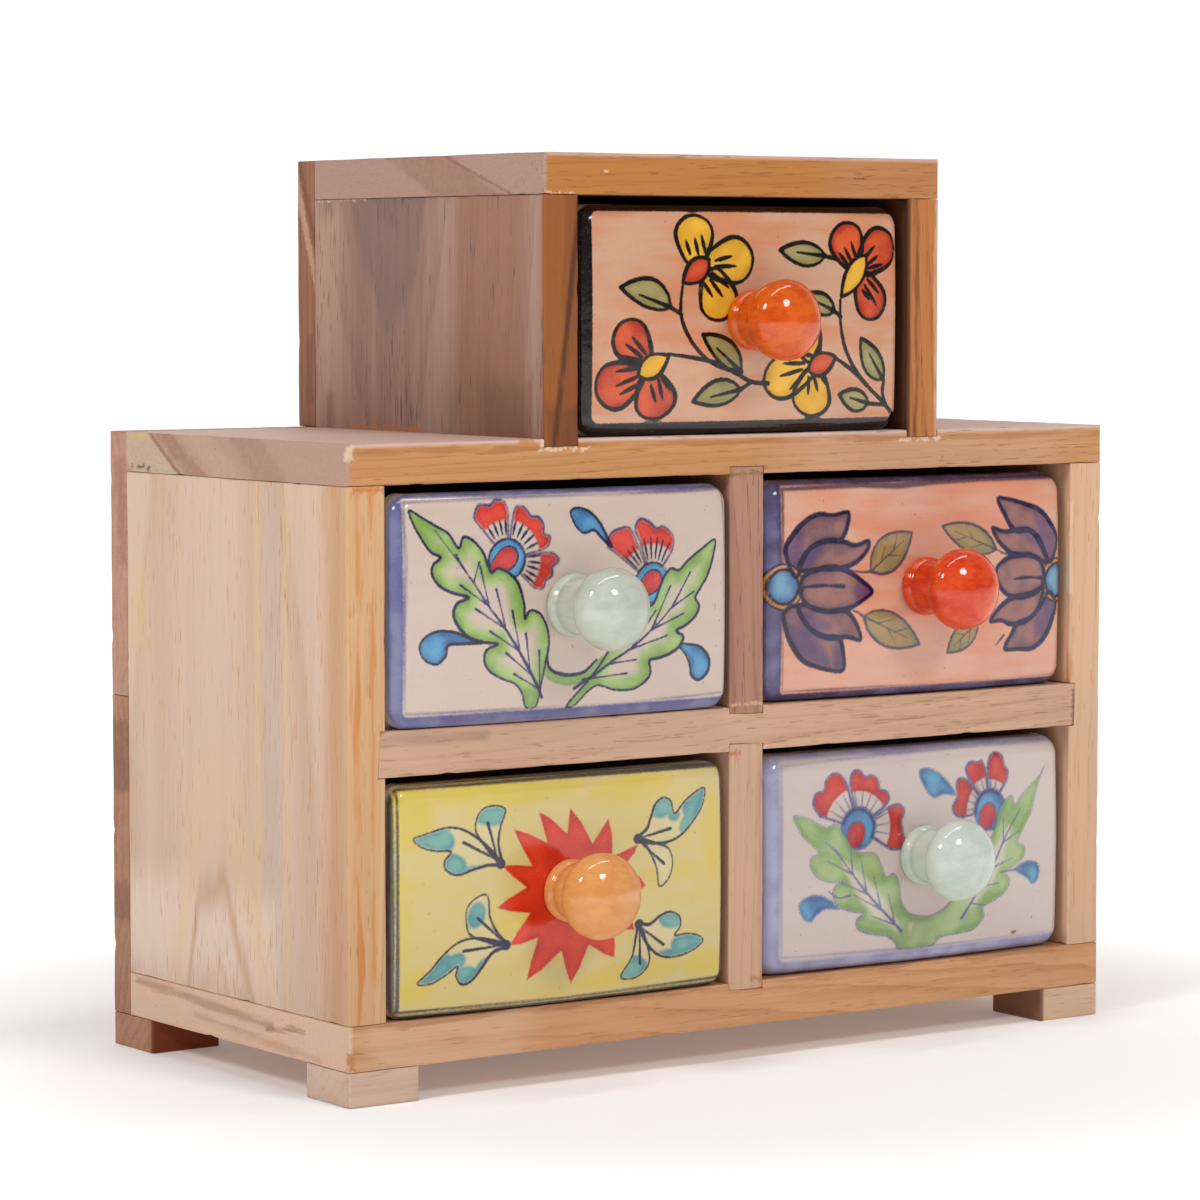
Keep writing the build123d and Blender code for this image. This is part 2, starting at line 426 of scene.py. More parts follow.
def turn(points, degrees):
    """Points turned about the origin."""
    angle = math.radians(degrees)
    spin = np.array([[math.cos(angle), math.sin(angle)], [-math.sin(angle), math.cos(angle)]])
    return np.asarray(points, float) @ spin


class Canvas:
    """Signed distances in mm from points on a drawer front to the painted shapes of each ink."""

    REACH = 3.0

    def __init__(self, points):
        self.points = points
        self.inks = {}

    def ink(self, name):
        """The distances of one ink, far from everything until something is painted with it."""
        return self.inks.setdefault(name, np.full(len(self.points), self.REACH))

    def near(self, outline):
        """The points that a shape can reach."""
        low = outline.min(0) - self.REACH
        high = outline.max(0) + self.REACH
        return np.nonzero(((self.points > low) & (self.points < high)).all(1))[0]

    @staticmethod
    def to_segments(points, start, end):
        """Distance from each point to each segment, and how far along it the nearest place is."""
        run = end - start
        offset = points[:, None] - start[None]
        length = np.maximum((run * run).sum(1), 1e-9)
        t = np.clip((offset * run).sum(2) / length, 0, 1)
        gap = offset - t[..., None] * run
        return np.sqrt((gap * gap).sum(2)), t

    def signed(self, near, outline):
        """Distances to an outline, negative inside it."""
        points = self.points[near]
        start, end = outline, np.roll(outline, -1, 0)
        distance = self.to_segments(points, start, end)[0].min(1)
        u, v = points[:, :1], points[:, 1:]
        crosses = (start[:, 1] > v) != (end[:, 1] > v)
        rise = np.where(end[:, 1] == start[:, 1], 1e-9, end[:, 1] - start[:, 1])
        at_u = start[:, 0] + (v - start[:, 1]) / rise * (end[:, 0] - start[:, 0])
        inside = (crosses & (u < at_u)).sum(1) % 2 == 1
        distance[inside] *= -1
        return distance

    def area(self, name, outline, within=None):
        """A filled shape, or the part of it that lies within a second one."""
        outline = np.asarray(outline, float)
        near = self.near(outline)
        distance = self.signed(near, outline)
        if within is not None:
            distance = np.maximum(distance, self.signed(near, np.asarray(within, float)))
        layer = self.ink(name)
        layer[near] = np.minimum(layer[near], distance)

    def line(self, name, path, *widths):
        """A brush stroke whose full width runs through the given values from end to end."""
        path = np.asarray(path, float)
        near = self.near(path)
        start, end = path[:-1], path[1:]
        distance, t = self.to_segments(self.points[near], start, end)
        lengths = np.linalg.norm(end - start, axis=1)
        so_far = np.concatenate([[0], np.cumsum(lengths)])
        place = (so_far[:-1] + t * lengths) / so_far[-1]
        half = np.interp(place, np.linspace(0, 1, len(widths)), widths) / 2
        layer = self.ink(name)
        layer[near] = np.minimum(layer[near], (distance - half).min(1))

    def lines(self, name, paths, *widths):
        for path in paths:
            self.line(name, path, *widths)

    def stroke(self, name, points, *widths):
        """A brush stroke along a smooth line through points."""
        self.line(name, curve(points, closed=False), *widths)

    def ring(self, name, outline, *widths):
        """A brush stroke round an outline."""
        self.line(name, np.concatenate([outline, outline[:1]]), *widths)

    def outlined(self, fill, line, outline, *widths):
        """A filled shape with a stroke round it."""
        self.area(fill, outline)
        self.ring(line, outline, *widths)

    def frame(self, name, left, right, bottom, top, corner):
        """Everything outside a rounded rectangle."""
        middle = np.array([(left + right) / 2, (bottom + top) / 2])
        half = np.array([(right - left) / 2, (top - bottom) / 2]) - corner
        away = np.abs(self.points - middle) - half
        outside = np.hypot(*np.maximum(away, 0).T)
        inside = np.minimum(away.max(1), 0)
        distance = np.clip(corner - outside - inside, -self.REACH, self.REACH)
        layer = self.ink(name)
        layer[:] = np.minimum(layer, distance)


# ---- shapes that the decoration repeats ----
def petal(base, tip, width, fullness=0.62):
    """A round petal from its base to its tip."""
    base, tip = np.array(base, float), np.array(tip, float)
    axis = tip - base
    side = np.array([-axis[1], axis[0]]) / np.hypot(*axis) * width / 2
    stations = ((0.0, 0.34), (0.26, 0.76), (fullness, 1.0), (0.88, 0.70), (1.0, 0.0))
    left = [base + axis * s + side * w for s, w in stations]
    right = [base + axis * s - side * w for s, w in stations[-2::-1]]
    return curve(left + right)


def leaf(tip, base, left, right):
    """A pointed leaf whose sides belly out by the given amounts, seen from base to tip."""
    tip, base = np.array(tip, float), np.array(base, float)
    axis = tip - base
    side = np.array([-axis[1], axis[0]]) / np.hypot(*axis)
    stations = np.linspace(0, 1, 9)
    belly = np.sin(np.pi * stations**0.85)**0.85
    up = [base + axis * s + side * left * b for s, b in zip(stations, belly)]
    down = [base + axis * s - side * right * b for s, b in zip(stations[-2:0:-1], belly[-2:0:-1])]
    return np.array(up + down)


def bloom(eye, rim, inner):
    """A petal whose scalloped rim is given as (angle, reach) about the eye, closed by an arc at inner."""
    rim = [(reach * math.cos(math.radians(a)), reach * math.sin(math.radians(a))) for a, reach in rim]
    rim = curve(rim, closed=False, steps=5)
    arc = np.radians(np.linspace(rim_angle(rim[-1]), rim_angle(rim[0]), 8))
    return np.concatenate([rim, np.stack([np.cos(arc), np.sin(arc)], 1) * inner]) + np.array(eye)


def rim_angle(point):
    """A point's angle about the middle, in degrees, without a jump where a petal crosses the right."""
    return math.degrees(math.atan2(point[1], point[0])) % 360 - (360 if point[0] > 0 and point[1] < 0 else 0)


def round_shape(middle, long_r, short_r, lean=0.0):
    """An ellipse, turned by lean degrees."""
    angles = np.linspace(0, 2 * np.pi, 24, endpoint=False)
    return turn(np.stack([np.cos(angles) * long_r, np.sin(angles) * short_r], 1), lean) + np.array(middle)


def spokes(canvas, name, middle, angles, start, end, *widths):
    """Short strokes that radiate from a middle."""
    for angle in angles:
        ray = np.array([math.cos(math.radians(angle)), math.sin(math.radians(angle))])
        canvas.line(name, np.array(middle) + np.outer((start, end), ray), *widths)


# ---- decoration: top drawer ----
def paint_top(c):
    c.frame("black", -47.6, 49.6, -25.4, 27.1, 2.0)
    # heart, its tail, petals (base, tip, width), strokes on them, ink of the petals, ink of the heart
    flowers = (
        ((-15.8, 13), (-20.9, 9.4),
         (((-17, 14.2), (-17.4, 26.4), 11.4), ((-13.6, 13.8), (1, 16), 11.6),
          ((-12.4, 12.4), (-8.2, 0.2), 11.4)),
         ((-18.6, 16.6, -19.9, 20.1), (-16.1, 16.6, -17.1, 20.6), (-13.9, 17, -15, 21.3),
          (-10.7, 15, -5.6, 16.1), (-10.9, 13.5, -4.3, 13.6), (-12, 12, -6.8, 8.2),
          (-12.5, 10.2, -8.6, 5.9), (-14.6, 9.5, -11.8, 5.9)),
         "yellow", "red"),
        ((-30.8, -11.9), (-25.2, -8.8),
         (((-32, -10.8), (-39.6, -0.7), 10.6), ((-33.4, -12.8), (-46.2, -18.6), 11.6),
          ((-30.8, -13.4), (-27.6, -24.4), 12)),
         ((-32.1, -8.2, -36.1, -4.1), (-33.2, -9.1, -38, -5.9), (-32.9, -10.1, -39.6, -8.7),
          (-34.3, -11.9, -40.7, -12.6), (-33.6, -13.7, -40.6, -16.2), (-33.2, -15.5, -39.6, -18.4),
          (-30.4, -16.2, -28.9, -20.5), (-28.2, -14.8, -26.8, -19.8), (-27.5, -13.7, -24.6, -17.6)),
         "red", "yellow"),
        ((35.6, 12.4), (30.2, 5.7),
         (((34.6, 13.6), (30.2, 24.4), 11.2), ((36.8, 13), (47.6, 21.6), 10.8),
          ((36.8, 11.4), (42.8, 0.4), 10.2)),
         ((32.5, 13.8, 29.6, 17), (33.9, 14.5, 31.4, 18.4), (35.4, 15.6, 33.7, 19.9),
          (38.2, 15.6, 41.8, 18.8), (39.3, 14.1, 42.9, 16.3), (39.6, 13.1, 44.3, 14.1),
          (38.2, 8.8, 42.5, 3.4), (37.5, 7.4, 40, 4.9), (39.3, 10.2, 43.2, 6.6)),
         "red", "yellow"),
        ((22.6, -11.8), (28.4, -9.7),
         (((21.2, -11.4), (4.8, -16.6), 11), ((21.6, -13), (19.6, -24.7), 12.4),
          ((20.8, -10.4), (16.4, 0.8), 9.6)),
         ((17.9, -11.2, 10.7, -11.2), (17.1, -12.8, 10, -14.4), (19.3, -14.8, 19.3, -19.1),
          (21.1, -14.4, 22.5, -18.4), (22.9, -13.7, 25.4, -16.9), (17.6, -14.2, 13.2, -17.8)),
         "yellow", "red"))
    for heart, tail, petals, strokes, petal_ink, heart_ink in flowers:
        for base, tip, width in petals:
            c.outlined(petal_ink, "black", petal(base, tip, width), 1.1, 1.5, 1.2, 1.0, 1.7, 1.1)
        for u0, v0, u1, v1 in strokes:
            c.line("black", ((u0, v0), (u1, v1)), 1.0, 1.4, 1.3, 0.7)
        drop = leaf(tail, np.array(heart) * 1.6 - np.array(tail) * 0.6, 2.9, 2.9)
        c.outlined(f"heart_{heart_ink}", "rim", drop, 1.3, 1.0, 1.5, 1.0)
    stems = (
        ((-21, 8.6), (-21.6, 2.4), (-20.2, -2.2), (-16.8, -7), (-11.4, -11), (-4, -13.2)),
        ((-25.4, -8.4), (-17.8, -9.4), (-10.7, -10.8), (-5, -13.2), (0.7, -15.7), (6, -16.2)),
        ((29.8, 5), (29.9, -1), (31.4, -7), (34.4, -12), (39.4, -17.2), (45.2, -21.6), (48.6, -24.8)),
        ((28.2, -9.9), (32.4, -12.2), (36.6, -15), (39.4, -17.2)),
        ((45.3, -15.6), (44.9, -19), (46, -22.2)), ((-3.2, -17.8), (0.6, -15.8)),
        ((-25, 3.4), (-21.5, 1.6)), ((24.6, 16.2), (29, 15.3)), ((26.8, 2.8), (29.9, 0.6)),
        ((39.6, -21.9), (45.9, -22.3)), ((22.9, -2.6), (23.2, -5.6), (21.6, -8.6)))
    for stem in stems:
        c.stroke("black", stem, 1.0, 1.4, 1.2, 1.5)
    leaves = (
        ((-39.6, 8.3), (-24.4, 3.2), 2.2, 5), ((-14.8, -3.6), (-2.6, -13.2), 2.2, 4),
        ((-17.6, -20.4), (-2.6, -17.6), 2.6, 3.8), ((17.6, 6.2), (28, 2), 2.6, 2.8),
        ((37, -5), (45.1, -15.9), 3.6, 2.8), ((9.8, 17.7), (25, 16.2), 3.2, 2.8),
        ((29.9, -19.4), (40.2, -21.9), 3, 2.6))
    for tip, base, left, right in leaves:
        c.outlined("olive", "black", leaf(tip, base, left, right), 0.9, 1.2, 1.4, 1.0)
        tip, base = np.array(tip), np.array(base)
        c.line("black", [base, base * 0.36 + tip * 0.64], 1.5, 0.7)


# ---- decoration: the two white drawers ----
ACANTHUS_OUTER = (
    (-46.3, 24.7), (-45.2, 21.3), (-43.1, 17.7), (-40.6, 14.5), (-37.9, 13.1), (-40, 11.4), (-40.3, 9),
    (-38.4, 6.3), (-34.9, 4.5), (-30.1, 3.1), (-33.2, 1.9), (-34.4, -0.6), (-33.1, -3.7), (-30.2, -6.5),
    (-25.9, -8), (-21.8, -8.6), (-24.9, -9.9), (-25.6, -12.3), (-24.1, -15.1), (-20.2, -17.3),
    (-16.6, -18.7), (-14.5, -21.2), (-13.4, -24.6))
ACANTHUS_INNER = (
    (-10.4, -24.4), (-9, -19), (-7.6, -13), (-6.8, -9.4), (-7.4, -5.1), (-9.5, -1.7), (-12.4, -0.8),
    (-13.9, -2.7), (-14.1, 0.6), (-15.6, 5.6), (-18.1, 8.4), (-21.6, 9.9), (-23.8, 9), (-25.6, 13.4),
    (-28.4, 16.7), (-31.4, 17.9), (-32.8, 15.2), (-35.6, 18.8), (-38.8, 20.6), (-42.4, 22.6))
ACANTHUS_MIRROR_OUTER = (
    (45.5, 14.6), (45, 10.6), (43, 5.6), (40.5, 2.4), (39, 0.2), (40.3, -1.9), (39.1, -4.4), (35.9, -6.6),
    (32.8, -7.9), (35.1, -9.4), (34.1, -11.7), (31.2, -13.4), (27.6, -14.4), (24.3, -15), (24.6, -18.3),
    (21.9, -20.8), (18.4, -21.9), (13.4, -21.7), (8.4, -20.3), (5.5, -21.4), (2.8, -23.6), (0.9, -25))
ACANTHUS_MIRROR_INNER = (
    (-1.4, -25), (2.2, -21.6), (5.6, -18.6), (9, -14.8), (14, -8.6), (20, -2.6), (25.2, -0.8), (27.3, 3.1),
    (29.1, 6.3), (31.2, 7.9), (33.7, 7.4), (36.9, 9.9), (41.2, 12.4))


ACANTHUS_SOFT = (
    (-41.6, 12.9), (-40.6, 10), (-38.1, 6.5), (-34, 3), (-36.3, 1.6), (-36.4, -1), (-33.8, -3.9),
    (-29.5, -5.2), (-26, -5.3), (-28.8, -6.5), (-29.2, -9.3), (-26.6, -12.1), (-22.4, -13.5),
    (-19.2, -14.1), (-21.6, -15.8), (-20.9, -18.2), (-17.4, -19.6), (-11.6, -20.7), (-8.8, -22.5),
    (-6.6, -24.6), (3.4, -24.6), (6.9, -22.5), (12.6, -22.1), (18.4, -21.4), (21.9, -18.5), (21.7, -15.7),
    (25.5, -14.4), (29.8, -12.1), (31.2, -8.9), (29.2, -7), (32.6, -5.7), (36.2, -3.5), (36.7, -0.7),
    (34.2, 0.9), (36.2, 4.3), (39.1, 8.6), (40.5, 12.9), (42.3, 17.9), (39.1, 15.8), (35.5, 13.3),
    (33.1, 10.8), (31.9, 13.3), (29.1, 12.2), (26.9, 9.3), (25, 4), (19.6, -4), (14.6, -9.4), (11.2, -12.1),
    (8.4, -14.6), (4.1, -16.4), (-0.2, -16.4), (-4.5, -15), (-7, -11.4), (-7.7, -7.1), (-9.5, -4.3),
    (-12, -5), (-13.8, -1.4), (-15.9, 1.5), (-21.6, 2.2), (-25.2, 6.5), (-28.1, 10), (-31.6, 9.3),
    (-36.6, 11.8))


def paint_acanthus(c):
    """Two scalloped leaves that rise from the foot of the front to its upper corners."""
    for outline in (ACANTHUS_OUTER + ACANTHUS_INNER, ACANTHUS_MIRROR_OUTER + ACANTHUS_MIRROR_INNER):
        c.outlined("green", "navy", curve(outline, steps=5), 0.8, 1.1, 0.7, 1.0, 0.8)
    trunk = ((-8, -8.6), (-8.2, -13.4), (-6.4, -17), (-1, -18.7), (5, -17.8), (9.6, -14))
    c.stroke("stem", trunk, 2.4, 2.8, 2.6)
    rim = ((-6.8, -9.4), (-7.3, -13), (-6.2, -15.6), (-3.1, -16.9), (0, -17.3), (4.1, -16.6), (7.6, -13.9))
    c.stroke("navy", rim, 0.8, 1.2, 0.9)
    ribs = (
        ((-8.8, -22.3), (-10.4, -19), (-14.5, -12.3), (-19.5, -5.1), (-24.5, 0.9), (-29.5, 7.7),
         (-39.5, 19.9)),
        ((0.9, -20.7), (7.6, -17.3), (13, -14.2), (18.4, -11.6), (24.8, -7.3), (31.2, -1.9), (36.9, 6)))
    for rib in ribs:
        c.stroke("vein", rib, 1.1, 0.8, 0.5)
    veins = (
        ((-29.6, 7.6), (-33.6, 13.6)), ((-28.6, 7), (-27, 11.6)), ((-24.5, 0.9), (-32.4, 6.2)),
        ((-24.4, 1.2), (-26.8, 10.6)), ((-19.6, -5), (-28.2, 0.3)), ((-19.6, -4.4), (-22.2, 4.8)),
        ((-15.6, -10.6), (-24, -5.4)), ((-15.4, -10.2), (-17.6, -0.6)), ((-12.3, -16.4), (-19.4, -10.9)),
        ((-12.3, -16.2), (-13.6, -6.4)), ((-9.4, -20.4), (-17, -16.2)), ((-9.4, -20), (-9.7, -10.8)),
        ((17.2, -17.8), (3.4, -18.6)), ((20, -14.5), (11.6, -15.1)), ((30, -8.9), (17.4, -12)),
        ((35.2, -3.6), (24.8, -7.3)), ((38.6, 1.8), (31.2, -2)), ((30.9, 3.6), (25, -7)),
        ((37.4, 6.8), (31.6, -1.6)), ((26.2, -2.4), (18.8, -11.2)))
    c.lines("vein", veins, 0.7, 0.6, 0.9)


def paint_soft_acanthus(c):
    """The same plant in a paler hand: one green shape with white along its ribs."""
    c.outlined("green", "navy", curve(ACANTHUS_SOFT, steps=5), 0.5, 0.9, 0.4, 0.8, 0.5)
    ribs = (
        ((-6.6, -19.8), (-10, -16.6), (-17.3, -9.8), (-24.2, -2.1), (-29.2, 4.2)),
        ((14, -18.2), (20, -11), (25.5, -4), (29.7, 2.8), (35, 9.6)))
    for rib in ribs:
        path = curve(rib, closed=False)
        c.line("rib", path[4:-5], 3.0, 6.4, 5.4, 2.0)
        c.line("vein", path, 1.1, 0.9, 0.6)
    veins = (
        ((-8.6, -18), (-16.6, -15)), ((-8.8, -17.8), (-11.2, -9.6)), ((-13.4, -13.6), (-22.6, -9)),
        ((-13.6, -13.2), (-16, -4.6)), ((-18.2, -9), (-27.4, -5.2)), ((-18.4, -8.6), (-20.2, -0.2)),
        ((-22.8, -3.6), (-31, 0.4)), ((-23, -3.2), (-23.8, 4.4)), ((-27.2, 1.8), (-31.6, 5.4)),
        ((17.2, -14.4), (22.6, -15.4)), ((20.6, -10.2), (27.4, -9.8)), ((24.4, -5.6), (32, -3.4)),
        ((24.6, -5.2), (24, 1.6)), ((28.6, 1), (34.4, 3.6)), ((28.8, 1.4), (28.6, 7.6)))
    c.lines("vein", veins, 0.9, 0.6, 0.5)
    c.stroke("vein", ((-30.6, -7.6), (-27.4, -9.4), (-23.6, -9)), 0.6, 0.8)
    c.line("navy", ((42.2, 17.6), (44.2, 20.6)), 0.8, 0.5)
    c.area("rib", curve(((-4.6, -18.2), (-2.6, -17.6), (-2.6, -19.4), (-3.8, -20.6))))


def paint_petals(c, petals, *widths):
    """White petals (eye, where their red begins, rim) with a red edge and a brush line round them."""
    for eye, red_from, rim in petals:
        whole = bloom(eye, rim, 5.0)
        beyond = [(angle, reach + 2.0) for angle, reach in rim]
        c.area("white", whole)
        c.area("red", whole, within=bloom(eye, beyond, red_from))
        c.ring("violet", whole, *widths)


def paint_upper_left(c):
    c.frame("border", -48.0, 49.4, -25.2, 27.4, 1.2)
    inner = (
        (-47.6, -24.6), (-48, -4), (-47.5, 12), (-47.9, 26.6), (-20, 27.2), (14, 27), (48.4, 27.5),
        (49.3, 10), (49.2, -24.4), (18, -25.2), (-20, -25), (-47.6, -24.6))
    c.line("border_line", inner, 0.7, 1.3, 0.8, 1.2, 0.6, 1.6, 0.9, 0.5, 0.9, 0.5, 1.3, 0.8)
    paint_acanthus(c)
    left_eye, right_eye = (-19.0, 12.0), (25.0, 4.6)
    petals = (
        (left_eye, 9.4,
         ((133, 11.6), (131, 14.2), (120, 15.6), (110, 14.2), (101, 14.8), (92, 14.2), (87, 11.6))),
        (left_eye, 9.4,
         ((80, 11.4), (76, 13.4), (66, 13.6), (56, 12.6), (46, 13.8), (36, 13.4), (29, 12.4), (22, 13.8),
          (14, 12.6), (11, 10.6))),
        (left_eye, 9.4,
         ((7, 11.2), (4, 13.8), (-3, 15.2), (-10, 13.4), (-18, 13.8), (-27, 12.6), (-36, 12.8), (-43, 10.8))),
        (right_eye, 9.4, ((146, 13.2), (145, 17), (135, 18), (124, 16.8), (117, 15.6), (115, 12.6))),
        (right_eye, 9.4,
         ((110, 11), (111, 14.6), (103, 16.4), (93, 15.2), (84, 13.6), (76, 14.4), (67, 14), (57, 13),
          (50, 10.2))))
    paint_petals(c, petals, 0.7, 1.1, 0.6, 1.0, 0.7)
    spokes(c, "spoke", left_eye, (124, 113, 102, 92, 74, 61, 49, 36, 23, 4, -7, -17, -28, -38),
           6.2, 9.8, 0.6, 1.0, 0.6)
    spokes(c, "spoke", right_eye, (142, 133, 124, 103, 92, 81, 71, 60), 6.0, 11.2, 0.6, 0.9, 0.6)
    for eye in (left_eye, right_eye):
        c.outlined("blue", "spoke", round_shape(eye, 5.4, 5.0, 20), 0.5, 0.9, 0.5)
        core = petal(np.array(eye) + (-4.4, -2.4), np.array(eye) + (2.8, 2.0), 5.6, 0.6)
        c.outlined("core", "spoke", core, 0.4, 0.8, 0.4)
    drops = (
        ((0, 23.1), (1.9, 24), (5.5, 23.1), (8.4, 20.6), (10.5, 17.4), (12.3, 14), (9.1, 16.6), (6.9, 18.3),
         (4.1, 17.7), (1.9, 19.1), (0.5, 21.3)),
        ((-43.8, -8.7), (-42.4, -6.2), (-38.8, -4.8), (-34.5, -5.1), (-30.2, -6.6), (-26.4, -8),
         (-31.6, -8.1), (-35.9, -8.4), (-36.5, -10.9), (-39.1, -12.8), (-42.4, -11.6)),
        ((33.7, -11.4), (37.6, -11.6), (41.2, -12.6), (43.7, -15.5), (43.4, -18.7), (40.5, -20.7),
         (38, -19.4), (37.3, -16.6), (36, -14.1)))
    for drop in drops:
        c.outlined("drop", "spoke", curve(drop), 0.8, 1.1, 0.7)
    c.stroke("drop", ((9.6, 18), (11.2, 15.4), (13, 12.6)), 0.8, 0.3)


def paint_lower_right(c):
    c.frame("border", -45.6, 50.4, -24.7, 27.2, 2.0)
    inner = (
        (-45.2, -23.8), (-45.6, 0), (-45.2, 26), (-10, 27.2), (48.8, 27.4), (50.4, 24), (50.3, -22),
        (46, -24.4), (0, -24.6), (-45.2, -23.8))
    c.line("border_line", inner, 0.7, 1.3, 0.8, 1.5, 0.6, 1.3, 0.4, 0.3, 0.7, 1.2, 0.6)
    paint_soft_acanthus(c)
    left_eye, right_eye = (-21.2, 8.4), (23.8, 10.2)
    petals = (
        (left_eye, 10.6,
         ((162, 12.6), (154, 15.8), (144, 16.6), (136, 15.2), (128, 16.6), (118, 16.8), (111, 15.2),
          (107, 12))),
        (left_eye, 9.6,
         ((102, 11.6), (98, 14.4), (89, 15.2), (80, 13.6), (71, 14.4), (61, 13.8), (54, 12.2), (44, 13),
          (35, 12.4), (31, 10))),
        (left_eye, 10.2,
         ((26, 11), (22, 14.4), (13, 15.6), (4, 14.2), (-4, 14.6), (-14, 15.6), (-24, 15.4), (-30, 12.6))),
        (right_eye, 8,
         ((188, 9.4), (182, 12.4), (172, 13.2), (162, 12.4), (155, 12.8), (146, 14.2), (138, 13.6),
          (133, 11))),
        (right_eye, 8.6, ((130, 11.4), (126, 14.2), (117, 14.8), (108, 13.6), (101, 13.4), (97, 10.8))),
        (right_eye, 7.8, ((93, 11.2), (89, 14), (80, 15.4), (71, 14.6), (64, 12.6), (56, 12), (50, 9.6))))
    paint_petals(c, petals, 1.2, 0.8, 1.3, 0.9)
    spokes(c, "violet", left_eye, (150, 134, 118, 96, 80, 64, 48, 20, 4, -12), 5.6, 10.2, 0.8, 0.5)
    spokes(c, "violet", right_eye, (176, 160, 144, 124, 110, 86, 72), 5.4, 9.0, 0.8, 0.5)
    for eye in (left_eye, right_eye):
        c.outlined("blue", "violet", round_shape(eye, 5.6, 5.6), 1.0, 0.6)
        c.outlined("core", "violet", round_shape(np.array(eye) + (-0.8, -1.6), 3.7, 3.0, 65), 0.6)
    drops = (
        ((-0.9, 21.6), (1.9, 22.8), (6.2, 21.1), (9.8, 17.9), (11.8, 15), (7.6, 15.4), (4.1, 14.7),
         (1.2, 17.2)),
        ((-40, -10.6), (-37.4, -8.4), (-32.4, -8.6), (-27, -12.3), (-31.6, -12.1), (-34.4, -13.5),
         (-36.3, -15.2), (-38.8, -13.9)),
        ((33, -6.8), (36.2, -5), (40.5, -5), (42.3, -7.1), (41.6, -10), (39.4, -11), (37.3, -9.2)))
    for drop in drops:
        c.outlined("drop", "violet", curve(drop), 0.6, 0.4)
    c.line("vein", ((27.6, -7.0), (33.4, -6.6)), 0.6, 0.9)
    c.area("speck", curve(((31.6, -23.6), (33.0, -23.0), (34.3, -23.3), (33.2, -24.3))))


